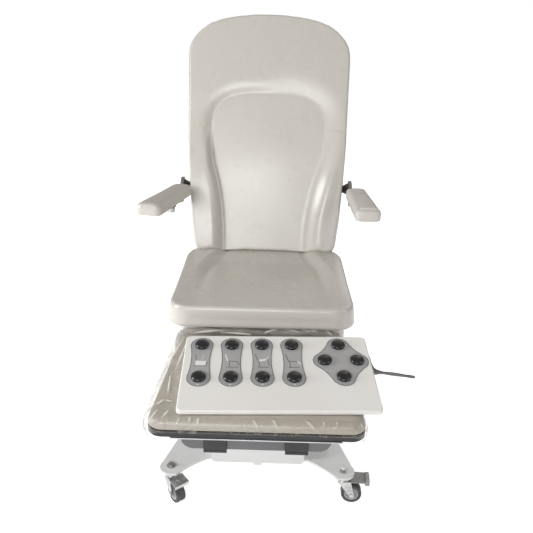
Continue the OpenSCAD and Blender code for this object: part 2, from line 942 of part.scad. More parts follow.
module back_frame() {
    color("dimgray")
    back_local()
    difference() {
        union() {
            both_sides() {
                translate([frame_bar_x - frame_bar / 2, bar_y, bar_z])
                cube([frame_bar, frame_bar, frame_bar_len]);
                side_plate(hinge_x + ear_t + side_play, frame_plate_t, hinge_plate);
                translate([0, hinge_in_back.x, hinge_in_back.y])
                x_rod(hinge_x + ear_t + side_play, frame_plate_t, hinge_boss_r);
                side_plate(arm_mount_x, lever_t, arm_bracket);
                translate([0, arm_in_back.x, arm_in_back.y]) {
                    x_rod(arm_mount_x, lever_t, arm_mount_w / 2);
                    x_rod(arm_mount_x, lever_t + arm_t + 3 * gap, arm_pin_r);
                    x_rod(arm_inner_x + arm_t + gap, lever_t / 2, arm_pin_r + lever_t);
                }
            }
            cross_bar(frame_bar_x, bar_y, bar_z, frame_bar, frame_bar);
            cross_bar(arm_mount_x + lever_t, bar_y, arm_bar_z, frame_bar, frame_bar);
            cross_bar(frame_bar_x, bar_y, bar_top_z - frame_bar, frame_bar, frame_bar);
            clevis_plates(back_act_x, back_pull_plate);
            translate([0, pull_in_back.x, pull_in_back.y])
            x_rod(back_act_x - fork_in - lever_t, 2 * (fork_in + lever_t), lever_pin_r);
        }
        both_sides()
        translate([0, hinge_in_back.x, hinge_in_back.y])
        x_rod(hinge_x, ear_t + side_play + frame_plate_t + cut, pin_r);
    }
}

// Outline of the backrest: narrow foot, round shoulders and a shallow arc on top
back_mid_shares = [[0.15, 0.945], [0.42, 0.99], [0.93, 1]];
back_foot_r = 28;
back_side_r = 700;
back_top_r = 500;
back_apex = 18;
back_points = [
    [-back_low_w / 2, back_gap],
    [back_low_w / 2, back_gap],
    for (s = back_mid_shares) [back_w / 2 * s[1], back_gap + back_len * s[0]],
    [0, back_len_top + back_apex],
    for (i = [2:-1:0])
    [-back_w / 2 * back_mid_shares[i][1], back_gap + back_len * back_mid_shares[i][0]]
];
back_radii = [
    back_foot_r, back_foot_r, back_side_r, back_side_r, shoulder_r, back_top_r,
    shoulder_r, back_side_r, back_side_r
];

// The channel between the bolsters narrows downwards and ends in an arch at the head
channel_shares = [[0, 0.46], [0.17, 0.525], [0.28, 0.58], [0.39, 0.64], [0.5, 0.69], [1, 0.69]];
arch_foot_share = 0.6;
arch_rise_share = 0.085;
crease_share = 0.09;
arch_step_share = 0.35;
function back_height(x, z) =
    let (
        v = (z - back_gap) / back_len,
        u = abs(x) / (back_w / 2),
        w = lookup(v, channel_shares),
        over = max(0, v - arch_foot_share) / arch_rise_share,
        out = norm([u / w, over]) * w - w,
        tall = 1 - (1 - arch_step_share) * ease((v - arch_foot_share / 2) / (arch_foot_share / 2))
    )
    back_pad_t + back_bolster * tall * ease(out / crease_share);

module back_cushion() {
    color("linen")
    back_local()
    translate([0, back_pad_t, 0])
    rotate([90, 0, 0])
    cushion(
        round_path(back_points, back_radii, 4, 3),
        seat_edge_r,
        function(x, y) back_height(x, y)
    );
}

// Moulded shell behind the cushion, rounded away to the rear
shell_edge_r = 14;
shell_shares = [0.6];
module back_shell() {
    k = 1 - shell_inset / (back_w / 2);
    color("whitesmoke")
    back_local()
    translate([0, back_pad_t + gap, (1 - k) * (back_gap + back_len / 2)])
    rotate([90, 0, 180])
    cushion(
        [for (p = round_path(back_points, back_radii, 3, 2)) p * k],
        shell_edge_r,
        function(x, y) back_shell_t,
        shell_shares
    );
}

// Linear actuators: the rod hangs on the lever's pin and runs in the barrel
function heading(from, to) = atan2(to.y - from.y, to.x - from.x);
module along(x, from, to) {
    translate([x, from.x, from.y])
    rotate([heading(from, to), 0, 0])
    children();
}

module y_rod(from, length, r) {
    translate([0, from, 0])
    rotate([-90, 0, 0])
    cylinder(r = r, h = length);
}

module push_rod(x, pull, tail, length) {
    color("silver")
    in_frame()
    along(x, pull, tail)
    difference() {
        union() {
            x_rod(-eye_w / 2, eye_w, eye_r);
            y_rod(0, length, rod_r);
        }
        x_rod(-eye_w / 2 - cut, eye_w + 2 * cut, lever_pin_r + run);
    }
}

module barrel(x, pull, tail, rod_len, stroke, length, motor_side) {
    reach = norm(pull - tail);
    bore_from = reach - rod_len - stroke - bore_spare;
    motor_reach = barrel_r + motor_r + cut;
    color("darkgray")
    in_frame()
    along(x, tail, pull)
    difference() {
        union() {
            x_rod(-eye_w / 2, eye_w, eye_r);
            y_rod(0, 2 * eye_r, eye_w / 2 - cut);
            y_rod(2 * eye_r, length - 2 * eye_r, barrel_r);
            translate([motor_side * motor_reach, 0, 0])
            y_rod(2 * eye_r, motor_len, motor_r);
            translate([min(0, motor_side * motor_reach), 2 * eye_r + cut, -motor_r / 2])
            cube([motor_reach, barrel_end, motor_r]);
        }
        y_rod(min(bore_from, length / 2), length, rod_r + run);
        x_rod(-eye_w, 2 * eye_w, lever_pin_r + run);
    }
}

module back_rod() {
    push_rod(back_act_x, back_pull, back_tail, back_rod_len);
}

module back_actuator() {
    barrel(back_act_x, back_pull, back_tail, back_rod_len, back_stroke, back_barrel, 1);
}

module leg_rod() {
    push_rod(leg_act_x, leg_pull, leg_tail, leg_rod_len);
}

module leg_actuator() {
    barrel(leg_act_x, leg_pull, leg_tail, leg_rod_len, leg_stroke, leg_barrel, -1);
}

// Leg rest: steel frame, black carrier board and cushion
function leg_outline(inset, steps, parts) =
    round_path(
        trapezoid(
            leg_front_w - 2 * inset, leg_rear_w - 2 * inset,
            inset, leg_len - inset
        ),
        same(leg_corner_r - inset, 4), steps, parts
    );
leg_bracket = [
    [hinge_in_leg.x - 4 * leg_boss_r, -leg_under], [hinge_in_leg.x, -leg_under],
    [hinge_in_leg.x + leg_boss_r, hinge_in_leg.y], [hinge_in_leg.x - leg_boss_r, hinge_in_leg.y]
];
leg_pull_plate = [
    [pull_in_leg.x - 2 * eye_r, -leg_under], [pull_in_leg.x + eye_r, -leg_under],
    [pull_in_leg.x + eye_r, pull_in_leg.y], [pull_in_leg.x, pull_in_leg.y - eye_r],
    [pull_in_leg.x - eye_r, pull_in_leg.y]
];
runner_z = -leg_under - runner_h;
runner_x = tray_w / 2 + tray_lip + tray_gap;

module leg_frame() {
    color("silver")
    leg_local()
    difference() {
        union() {
            translate([0, 0, -leg_under])
            linear_extrude(leg_plate_t)
            polygon(leg_outline(plate_inset, 5, 1));
            both_sides() {
                side_plate(leg_ear_x + ear_t + side_play, lever_t, leg_bracket);
                translate([0, hinge_in_leg.x, hinge_in_leg.y])
                x_rod(leg_ear_x + ear_t + side_play, lever_t, leg_boss_r);
                translate([runner_x, tray_front_d, runner_z])
                cube([runner_t, tray_depth, runner_h]);
                translate([runner_x - tray_lip, tray_front_d, runner_z])
                cube([tray_lip + cut, tray_depth, runner_t]);
            }
            clevis_plates(leg_act_x, leg_pull_plate);
            translate([0, pull_in_leg.x, pull_in_leg.y])
            x_rod(leg_act_x - fork_in - lever_t, 2 * (fork_in + lever_t), lever_pin_r);
        }
        both_sides()
        translate([0, hinge_in_leg.x, hinge_in_leg.y])
        x_rod(leg_ear_x, ear_t + side_play + lever_t + cut, lever_pin_r);
    }
}

module leg_board() {
    color("black")
    leg_local()
    translate([0, 0, -leg_pad_t - leg_board_t])
    linear_extrude(leg_board_t - gap)
    polygon(leg_outline(board_inset, 6, 1));
}

function leg_height(x, y) =
    let (u = x / (leg_front_w / 2), v = 2 * y / leg_len - 1)
    leg_pad_t - leg_crown * max(u * u, v * v);

leg_shares = [0.9, 0.7, 0.4];
module leg_cushion() {
    color("tan")
    leg_local()
    translate([0, 0, -leg_pad_t])
    cushion(leg_outline(0, 5, 4), leg_edge_r, function(x, y) leg_height(x, y), leg_shares);
}

// Tray: a tapered basin with a lip on each side that runs in the runners
tray_top = -leg_under - tray_gap;
tray_taper = 26;
module basin(inset, top_z, floor_z) {
    hull() {
        translate([0, tray_depth / 2, top_z - tray_gap])
        linear_extrude(tray_gap)
        round_rect(tray_w - 2 * inset, tray_depth - 2 * inset, tray_corner_r - inset);
        translate([0, tray_depth / 2, floor_z])
        linear_extrude(tray_gap)
        round_rect(
            tray_w - 2 * (inset + tray_taper), tray_depth - 2 * inset - tray_taper,
            tray_corner_r - inset
        );
    }
}

module tray() {
    lip_z = runner_z + runner_t + gap;
    lip_t = tray_top - lip_z;
    color("gray")
    leg_local()
    translate([0, tray_front_d, 0]) {
        difference() {
            basin(0, tray_top, tray_top - tray_h);
            basin(tray_wall, tray_top + cut, tray_top - tray_h + tray_wall);
        }
        both_sides()
        translate([tray_w / 2 - tray_wall, tray_corner_r, lip_z])
        cube([tray_lip + tray_wall, tray_depth - 2 * tray_corner_r, lip_t]);
    }
}

module tray_clips() {
    color("black")
    leg_local()
    both_sides()
    translate([clip_x - clip_w / 2, tray_front_d - gap, tray_top - tray_h - clip_drop])
    mirror([0, 1, 0]) {
        cube([clip_w, clip_t, tray_h + clip_drop]);
        translate([0, 0, -clip_drop])
        cube([clip_w, 3 * clip_t, clip_drop]);
    }
}

// Armrests, drawn on the right-hand side and mirrored for the left
module arm_place(side) {
    in_frame()
    mirror([side, 0, 0])
    children();
}

tongue_z = arm_top_z - arm_pad_t - arm_plate_t - arm_tongue_t - 2 * gap;
arm_bar_low_z = tongue_z - arm_h;
arm_outline = [
    [arm_post_y - arm_tongue_w / 2, tongue_z], [arm_post_y - arm_tongue_w / 2, tongue_z - arm_tongue_t],
    [arm_post_y + arm_tongue_w / 2, tongue_z - arm_tongue_t],
    [arm_hinge_y - arm_hub_r, arm_bar_low_z], [arm_hinge_y, arm_hinge_z - arm_hub_r],
    [arm_hinge_y + arm_hub_r, arm_hinge_z], [arm_hinge_y, arm_hinge_z + arm_hub_r],
    [arm_hinge_y - arm_hub_r, tongue_z + arm_tongue_t],
    [arm_post_y + arm_pad_rear + arm_edge_r, tongue_z]
];

module arm(side) {
    color("dimgray")
    arm_place(side)
    difference() {
        union() {
            side_plate(arm_inner_x, arm_t, arm_outline);
            translate([0, arm_hinge_y, arm_hinge_z])
            x_rod(arm_inner_x, arm_t, arm_hub_r);
            translate([arm_pad_x, arm_post_y, tongue_z - arm_tongue_t])
            cylinder(r = arm_tongue_w / 2, h = arm_tongue_t);
        }
        translate([0, arm_hinge_y, arm_hinge_z])
        x_rod(arm_inner_x - cut, arm_t + 2 * cut, arm_pin_r + run);
        translate([arm_pad_x, arm_post_y, tongue_z - 2 * arm_tongue_w])
        cylinder(r = arm_post_r + run, h = 3 * arm_tongue_w);
    }
}

module pad_place(side, turn) {
    arm_place(side)
    translate([arm_pad_x, arm_post_y, 0])
    rotate([0, 0, turn])
    children();
}

// Steel plate under the pad, with the post that turns in the arm and its clamping knob
module arm_plate(side, turn) {
    knob_z = tongue_z - arm_tongue_t - gap - knob_neck - knob_h;
    color("silver")
    pad_place(side, turn) {
        translate([0, arm_pad_rear - arm_len / 2, tongue_z + gap])
        linear_extrude(arm_plate_t)
        round_rect(arm_plate_w, arm_plate_len, arm_edge_r);
        translate([0, 0, knob_z])
        cylinder(r = arm_post_r, h = tongue_z + gap - knob_z);
        translate([0, 0, knob_z])
        cylinder(r = knob_r, h = knob_h, $fn = 12);
        translate([0, 0, knob_z + knob_h])
        cylinder(r = arm_post_r + knob_neck, h = knob_neck);
    }
}

arm_points = trapezoid(arm_w, arm_rear_w, arm_pad_rear - arm_len, arm_pad_rear);
arm_shares = [0.8, 0.4];
arm_crown = 3;
function arm_height(x) = arm_pad_t - arm_crown * pow(2 * x / arm_w, 2);
module arm_pad(side, turn) {
    color("linen")
    pad_place(side, turn)
    translate([0, 0, tongue_z + arm_plate_t + 2 * gap])
    cushion(
        round_path(arm_points, same(arm_corner_r, 4), 4, 3),
        arm_edge_r, function(x, y) arm_height(x), arm_shares
    );
}

module left_arm() { arm(1); }
module right_arm() { arm(0); }
module left_arm_plate() { arm_plate(1, left_turn); }
module right_arm_plate() { arm_plate(0, right_turn); }
module left_arm_pad() { arm_pad(1, left_turn); }
module right_arm_pad() { arm_pad(0, right_turn); }

// Castors: each stands under its stem, turned about it, and trails along its own +X
module castor_place(index, turn) {
    in_frame()
    translate([stems[index].x, stems[index].y, 0])
    rotate([0, 0, turn])
    children();
}

cap_top_z = castor_h - race_h;
bridge_z = cap_top_z - cap_h - fork_t;
cheek_in = wheel_w / 2 + fork_gap;
cheek_points = [
    [-bridge_back, bridge_z + fork_t], [cap_r, bridge_z + fork_t],
    [castor_trail + 2 * axle_r, wheel_r], [castor_trail - 2 * axle_r, wheel_r]
];
module fork(index, turn) {
    color("silver")
    castor_place(index, turn)
    difference() {
        union() {
            translate([0, 0, cap_top_z])
            cylinder(r = race_r, h = race_h - gap);
            translate([0, 0, cap_top_z - cap_h])
            cylinder(r1 = cap_r, r2 = race_r, h = cap_h);
            translate([-bridge_back, -cheek_in - fork_t, bridge_z])
            cube([bridge_back + cap_r, 2 * (cheek_in + fork_t), fork_t]);
            for (side = [-cheek_in - fork_t, cheek_in])
                translate([0, side + fork_t, 0])
                rotate([90, 0, 0])
                linear_extrude(fork_t) {
                    polygon(cheek_points);
                    translate([castor_trail, wheel_r])
                    circle(2 * axle_r);
                }
            translate([castor_trail, -cheek_in - 2 * fork_t, wheel_r])
            rotate([-90, 0, 0])
            cylinder(r = axle_r - run, h = 2 * cheek_in + 4 * fork_t);
            for (y = [-cheek_in - 2 * fork_t, cheek_in + fork_t])
                translate([castor_trail, y, wheel_r])
                rotate([-90, 0, 0])
                cylinder(r = axle_nut_r, h = fork_t, $fn = 6);
        }
        translate([0, 0, bridge_z - cut])
        cylinder(r = stem_r, h = castor_h);
    }
}

hub_points = [
    [axle_r, -wheel_w / 2 + tyre_groove], [2 * axle_r, -wheel_w / 2 + tyre_groove],
    [hub_rim, -wheel_w / 4], [hub_r - 3 * hub_step, -wheel_w / 4],
    [hub_r - hub_step, -wheel_w / 2 + hub_step], [hub_r - run, -wheel_w / 2 + hub_step]
];
tyre_points = [
    [hub_r, -wheel_w / 2 + hub_step], [wheel_r - 2 * hub_step, -wheel_w / 2],
    [wheel_r - hub_step / 2, -wheel_w / 2 + hub_step], [wheel_r, -wheel_w / 4],
    [wheel_r, -tyre_groove], [wheel_r - tyre_groove, -tyre_groove / 2]
];
function both_ends(points) = concat(
    points,
    [for (i = [len(points) - 1:-1:0]) [points[i].x, -points[i].y]]
);
module wheel(index, turn) {
    castor_place(index, turn)
    translate([castor_trail, 0, wheel_r])
    rotate([90, 0, 0]) {
        color("lightgray")
        rotate_extrude()
        polygon(both_ends(hub_points));
        color("dimgray")
        rotate_extrude()
        polygon(both_ends(tyre_points));
    }
}

// Brake lever over the wheel: a bent plate on a pin, with a treadle on the right-hand castor
brake_x = cap_r + gap + brake_pin_r;
brake_z = bridge_z + fork_t + gap + brake_pin_r;
brake_lip_z = bridge_z - brake_drop;
brake_top_z = brake_z + brake_t / 2;
module brake(index, turn, treadle) {
    color("lightgray")
    castor_place(index, turn) {
        translate([brake_x, brake_w / 2, brake_z])
        rotate([90, 0, 0])
        cylinder(r = brake_pin_r, h = brake_w);
        translate([brake_x, -brake_w / 2, brake_z - brake_t / 2])
        cube([brake_len - brake_x, brake_w, brake_t]);
        translate([brake_len, -brake_w / 2, brake_lip_z])
        cube([brake_t, brake_w, brake_top_z - brake_lip_z]);
        translate([(brake_len + brake_x) / 2, 0, brake_top_z])
        cylinder(r = axle_nut_r, h = axle_r, $fn = 6);
        if (treadle)
            translate([brake_len + brake_t, 0, bridge_z + fork_t])
            rotate([0, 90, 0])
            linear_extrude(pedal_t)
            round_rect(pedal_h, pedal_w, pedal_h / 2 - gap);
    }
}

module front_left_fork() { fork(0, front_left_turn); }
module front_right_fork() { fork(1, front_right_turn); }
module rear_left_fork() { fork(2, rear_left_turn); }
module rear_right_fork() { fork(3, rear_right_turn); }
module front_left_wheel() { wheel(0, front_left_turn); }
module front_right_wheel() { wheel(1, front_right_turn); }
module rear_left_wheel() { wheel(2, rear_left_turn); }
module rear_right_wheel() { wheel(3, rear_right_turn); }
module front_left_brake() { brake(0, front_left_turn, false); }
module front_right_brake() { brake(1, front_right_turn, true); }

// Foot control: wedge housing, floor plate, key panels, buttons and gland
control_plan_y = control_depth / 2;
skin = control_wall / 10;
gland_place = turned([cord_start.x - control_x, cord_start.y - control_d], -control_turn);
module wedge(e, foot = 0) {
    w = control_w - 2 * e;
    d = control_depth - 2 * e;
    r = control_corner_r - e;
    top_d = control_depth / cos(control_slope);
    hull() {
        translate([0, control_plan_y, foot])
        linear_extrude(skin)
        round_rect(w, d, r, $fn = 32);
        for (level = [[control_bevel, 0], [0, control_bevel]])
            translate([0, 0, control_front_h - e - level[0] - skin])
            rotate([control_slope, 0, 0])
            translate([0, top_d / 2, 0])
            linear_extrude(skin)
            round_rect(w - 2 * level[1], top_d - 2 * (e + level[1]), r, $fn = 32);
    }
}

// Button places on the sloping top: four pairs, then the cross of four
panel_mid = control_depth * panel_mid_share;
cross_mid = control_depth * cross_mid_share;
pair_places = [
    for (i = [0:3], row = [0, 1])
    [panel_first_x + i * panel_pitch, panel_mid + (row - 0.5) * button_gap]
];
cross_places = [
    [cross_x, cross_mid + cross_dd], [cross_x - cross_dx, cross_mid],
    [cross_x + cross_dx, cross_mid], [cross_x, cross_mid - cross_dd]
];
button_places = concat(pair_places, cross_places);

module control_housing() {
    color("whitesmoke") {
        control_local()
        translate([0, 0, control_foot_h])
        difference() {
            wedge(0);
            wedge(control_wall, -cut);
            translate([0, 0, control_front_h])
            rotate([control_slope, 0, 0])
            for (p = button_places)
                translate([p.x, p.y, -4 * control_wall])
                cylinder(r = button_r + button_play, h = 5 * control_wall);
            translate([
                control_w / 2 - control_wall - cut,
                gland_place.y,
                cord_start.z - control_foot_h
            ])
            rotate([0, 90, 0])
            cylinder(r = gland_r + gap, h = control_wall + 2 * cut);
        }
    }
}

module control_bottom() {
    w = control_w - 2 * control_wall - 2 * gap;
    d = control_depth - 2 * control_wall - 2 * gap;
    color("dimgray")
    control_local() {
        translate([0, control_plan_y, control_foot_h])
        linear_extrude(control_wall / 2)
        round_rect(w, d, control_corner_r - control_wall - gap);
        for (x = [-control_w / 2 + control_foot_in, control_w / 2 - control_foot_in])
            for (y = [control_foot_in, control_depth - control_foot_in])
                translate([x, y, gap])
                cylinder(r = control_foot_r, h = control_foot_h - gap);
    }
}

module key_panels() {
    color("gray")
    control_top()
    translate([0, 0, run])
    linear_extrude(panel_t)
    difference() {
        union() {
            for (i = [0:3])
                translate([panel_first_x + i * panel_pitch, panel_mid]) {
                    for (y = [-button_gap / 2, button_gap / 2])
                        translate([0, y])
                        circle(panel_w / 2);
                    square([panel_waist, button_gap], center = true);
                }
            for (p = cross_places)
                translate(p)
                circle(cross_pad_r);
            translate([cross_x, cross_mid])
            square([cross_pad_r + cross_dx, cross_dd + cross_pad_r], center = true);
        }
        for (p = button_places)
            translate(p)
            circle(button_r + button_play);
    }
}

// Domed push button with a stop flange under the housing wall
button_profile = [
    [0, -2 * control_wall - button_travel], [button_r + 2 * button_play, -2 * control_wall - button_travel],
    [button_r + 2 * button_play, -control_wall - gap], [button_r, -control_wall - gap],
    [button_r, button_travel + panel_t], [button_r - button_rim, button_travel + panel_t + button_dome / 2],
    [button_r / 2, button_travel + panel_t + button_dome - gap], [0, button_travel + panel_t + button_dome]
];
module button(i) {
    color("black")
    control_top()
    translate(button_places[i - 1])
    rotate_extrude()
    polygon(button_profile);
}

module button_1() { button(1); }
module button_2() { button(2); }
module button_3() { button(3); }
module button_4() { button(4); }
module button_5() { button(5); }
module button_6() { button(6); }
module button_7() { button(7); }
module button_8() { button(8); }
module button_9() { button(9); }
module button_10() { button(10); }
module button_11() { button(11); }
module button_12() { button(12); }

// Gland on the housing's right side; the cord leaves its end
module cable_gland() {
    wall_x = control_w / 2;
    color("dimgray")
    control_local()
    translate([0, gland_place.y, cord_start.z]) {
        x_rod(wall_x - control_wall - gland_flange_t, gland_flange_t, gland_flange_r);
        x_rod(wall_x - control_wall - gap, control_wall + 2 * gap, gland_r);
        x_rod(wall_x + gap, gland_flange_t, gland_flange_r);
        translate([wall_x, 0, 0])
        rotate([0, 90, 0])
        cylinder(r1 = gland_r, r2 = cord_r + gland_flange_t / 2, h = gland_place.x - wall_x - gap);
    }
}

module control_cord() {
    color("gray")
    leg_local()
    tube(cord_points, cord_r, cord_sides);
}

// The spare cord is wound into a flat hank of two layers that spirals in and out again
function hank_radius(t) = hank_r - hank_step * min(t, 2 * hank_peak - t);
function hank_height(t) =
    let (span = hank_climb_shares[1] - hank_climb_shares[0])
    cord_r + soft_gap + hank_step * ease((t - hank_climb_shares[0]) / span);
function hank_point(t) =
    let (
        q = 4 * (t - floor(t)),
        r = hank_radius(t),
        front = [hank_half * (1 - 2 * q), -r],
        left = [-hank_half - r * sin(180 * (q - 1)), -r * cos(180 * (q - 1))],
        rear = [hank_half * (2 * q - 5), r],
        right = [hank_half + r * sin(180 * (q - 3)), r * cos(180 * (q - 3))],
        p = q < 1 ? front : q < 2 ? left : q < 3 ? rear : right
    )
    [hank_x + p.x, hank_d + p.y, hank_height(t)];
hank_count = round(hank_turns * hank_rings);
hank_path = [for (i = [0:hank_count]) hank_point(i / hank_rings)];
hank_last = hank_path[hank_count];
hank_exit = hank_r + 3 * cord_r;
hank_lead = [for (i = [1:5]) hank_last - [hank_exit * i / 5, 0, 0]];
hank_start = [cord_points[len(cord_points) - 1]];
hank_whole = concat(hank_start, hank_path, hank_lead);
hank_far = round(hank_rings / 2);
hank_gap = min([
    for (i = [0:len(hank_whole) - 1], j = [0:1:i - hank_far])
    norm(hank_whole[i] - hank_whole[j])
]) - 2 * cord_r;
echo(least_hank_gap = hank_gap);

module cord_hank() {
    color("gray")
    leg_local()
    tube(hank_whole, cord_r, hank_sides);
}

module plug() {
    tip = hank_whole[len(hank_whole) - 1];
    color("dimgray")
    leg_local()
    translate([0, tip.y, tip.z])
    mirror([1, 0, 0]) {
        translate([-tip.x, 0, 0])
        rotate([0, 90, 0])
        cylinder(r1 = cord_r + plug_pin_r, r2 = plug_neck_r + plug_pin_r, h = plug_neck_len);
        x_rod(plug_neck_len - tip.x, plug_len, plug_r);
        x_rod(plug_neck_len + plug_len - tip.x, plug_ring_len, plug_r - plug_pin_r);
        for (a = [0:72:359])
            translate([0, plug_neck_r * cos(a), plug_neck_r * sin(a)])
            x_rod(plug_neck_len + plug_len + plug_ring_len - tip.x, plug_pin_len / 2, plug_pin_r);
    }
}

base_plate();
base_cover();
castor_bolts();
mains_inlet();
column_outer();
column_middle();
column_inner();
seat_frame();
seat_skirt();
seat_cushion();
hinge_pins();
back_frame();
back_shell();
back_cushion();
back_rod();
back_actuator();
leg_frame();
leg_board();
leg_cushion();
leg_rod();
leg_actuator();
tray();
tray_clips();
left_arm();
right_arm();
left_arm_plate();
right_arm_plate();
left_arm_pad();
right_arm_pad();
front_left_fork();
front_right_fork();
rear_left_fork();
rear_right_fork();
front_left_wheel();
front_right_wheel();
rear_left_wheel();
rear_right_wheel();
front_left_brake();
front_right_brake();
control_housing();
control_bottom();
key_panels();
cable_gland();
control_cord();
cord_hank();
plug();
button_1();
button_2();
button_3();
button_4();
button_5();
button_6();
button_7();
button_8();
button_9();
button_10();
button_11();
button_12();
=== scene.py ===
import math

import bmesh
import bpy
from mathutils import Matrix, Vector, noise


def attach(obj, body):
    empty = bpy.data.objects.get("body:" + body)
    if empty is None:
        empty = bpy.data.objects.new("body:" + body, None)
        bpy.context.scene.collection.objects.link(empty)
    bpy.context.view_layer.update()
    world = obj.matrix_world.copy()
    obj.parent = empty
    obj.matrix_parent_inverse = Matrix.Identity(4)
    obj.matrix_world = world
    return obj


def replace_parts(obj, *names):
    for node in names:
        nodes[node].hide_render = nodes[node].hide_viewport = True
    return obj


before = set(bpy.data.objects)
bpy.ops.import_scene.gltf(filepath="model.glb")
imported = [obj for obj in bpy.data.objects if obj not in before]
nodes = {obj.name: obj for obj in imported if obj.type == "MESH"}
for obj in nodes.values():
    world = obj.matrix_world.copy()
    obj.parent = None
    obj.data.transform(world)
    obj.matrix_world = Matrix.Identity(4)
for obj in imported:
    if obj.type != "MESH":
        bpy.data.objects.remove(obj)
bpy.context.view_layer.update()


# Camera: a person's eye height in front of the chair, looking a little down.
# Its place and lens were fitted to the photograph's whole frame.
EYE = (0.0373, -1.6473, 1.2495)
LENS_MM = 37.15
DOWN, TURN, ROLL = math.radians(20.9), math.radians(-0.4), math.radians(1.4)

ahead = Vector((
    math.sin(TURN) * math.cos(DOWN), math.cos(TURN) * math.cos(DOWN), -math.sin(DOWN)
))
level = Vector((math.cos(TURN), -math.sin(TURN), 0))
across = Matrix.Rotation(-ROLL, 3, ahead) @ level
upward = across.cross(ahead)
camera_data = bpy.data.cameras.new("camera")
camera_data.lens = LENS_MM
camera_data.sensor_width = 36
camera_data.clip_start = 0.05
camera = bpy.data.objects.new("camera", camera_data)
aim = Matrix((across, upward, -ahead)).transposed().to_4x4()
camera.matrix_world = Matrix.Translation(EYE) @ aim
bpy.context.collection.objects.link(camera)
bpy.context.scene.camera = camera


# Studio: a pale floor that runs out into a white background, a tall cool window on
# the left, a wide lamp in front, weaker ones on the right and behind, and a warm fill.
def linear(red, green, blue):
    """A screen colour, 0 to 255, as the colour that a material takes."""
    return tuple(
        (c / 255 / 12.92) if c / 255 <= 0.04045 else ((c / 255 + 0.055) / 1.055) ** 2.4
        for c in (red, green, blue)
    ) + (1.0,)


def add_node(tree, kind, sockets=None, **settings):
    """Adds a shader node; each socket gets a value, or a link from another node's output."""
    made = tree.nodes.new("ShaderNode" + kind)
    for key, value in settings.items():
        setattr(made, key, value)
    for key, value in (sockets or {}).items():
        if isinstance(value, bpy.types.NodeSocket):
            tree.links.new(value, made.inputs[key])
        else:
            made.inputs[key].default_value = value
    return made


FLOOR_SPAN = 14.0
GLOW_NEAR, GLOW_FAR, GLOW_LOW = 0.5, 1.9, 0.66
FILL_STRENGTH = 0.34
floor_mesh = bpy.data.meshes.new("floor")
shape = bmesh.new()
bmesh.ops.create_grid(shape, x_segments=1, y_segments=1, size=FLOOR_SPAN / 2)
shape.to_mesh(floor_mesh)
shape.free()
floor = bpy.data.objects.new("floor", floor_mesh)
bpy.context.collection.objects.link(floor)

floor_finish = bpy.data.materials.new("studio_floor")
floor_finish.use_nodes = True
tree = floor_finish.node_tree
tree.nodes.clear()
rays = add_node(tree, "LightPath")
seen = add_node(
    tree, "Math", {0: rays.outputs["Is Camera Ray"], 1: rays.outputs["Is Glossy Ray"]}, operation="MAXIMUM"
)
seen = add_node(
    tree, "Math", {0: seen.outputs[0], 1: rays.outputs["Is Transmission Ray"]}, operation="MAXIMUM"
)
pale = add_node(tree, "BsdfDiffuse", {"Color": linear(243, 243, 243)})
where = add_node(tree, "TexCoord")
reach = add_node(tree, "VectorMath", {0: where.outputs["Object"]}, operation="LENGTH")
fade = add_node(
    tree, "MapRange", {0: reach.outputs["Value"], 1: GLOW_NEAR, 2: GLOW_FAR, 3: GLOW_LOW, 4: 1.0},
    interpolation_type="SMOOTHSTEP",
)
glow = add_node(tree, "Emission", {"Color": (1, 1, 1, 1), "Strength": fade.outputs[0]})
lifted = add_node(tree, "AddShader", {0: pale.outputs[0], 1: glow.outputs[0]})
plain = add_node(tree, "MixShader", {0: seen.outputs[0], 1: pale.outputs[0], 2: lifted.outputs[0]})
end = add_node(tree, "OutputMaterial", {"Surface": plain.outputs[0]})
floor_mesh.materials.append(floor_finish)

world = bpy.data.worlds.new("studio")
bpy.context.scene.world = world
world.use_nodes = True
tree = world.node_tree
tree.nodes.clear()
rays = add_node(tree, "LightPath")
seen = add_node(
    tree, "Math", {0: rays.outputs["Is Camera Ray"], 1: rays.outputs["Is Transmission Ray"]},
    operation="MAXIMUM",
)
fill = add_node(tree, "Background", {"Color": linear(247, 240, 231), "Strength": FILL_STRENGTH})
white = add_node(tree, "Background", {"Color": (1, 1, 1, 1), "Strength": 1.0})
both = add_node(tree, "MixShader", {0: seen.outputs[0], 1: fill.outputs[0], 2: white.outputs[0]})
end = add_node(tree, "OutputWorld", {"Surface": both.outputs[0]})

LAMP_TARGET, LAMP_TINT = Vector((0, 0, 0.75)), (0.97, 0.985, 1.0)
LAMPS = {
    # name: place, width, height and watts
    "window_lamp": ((-2.5, -0.75, 1.35), 0.5, 1.7, 50),
    "front_lamp": ((-0.5, -3.2, 1.5), 1.8, 0.9, 38),
    "right_lamp": ((2.4, -1.3, 1.9), 0.4, 1.3, 11),
    "rear_lamp": ((0.9, 2.5, 2.7), 1.6, 1.6, 14),
}
for name, (place, wide, tall, watts) in LAMPS.items():
    lamp_data = bpy.data.lights.new(name, "AREA")
    lamp_data.shape = "RECTANGLE"
    lamp_data.size = wide
    lamp_data.size_y = tall
    lamp_data.energy = watts
    lamp_data.color = LAMP_TINT
    lamp = bpy.data.objects.new(name, lamp_data)
    lamp.location = place
    lamp.rotation_euler = (LAMP_TARGET - Vector(place)).to_track_quat("-Z", "Y").to_euler()
    bpy.context.collection.objects.link(lamp)

bpy.context.scene.view_settings.view_transform = "Standard"


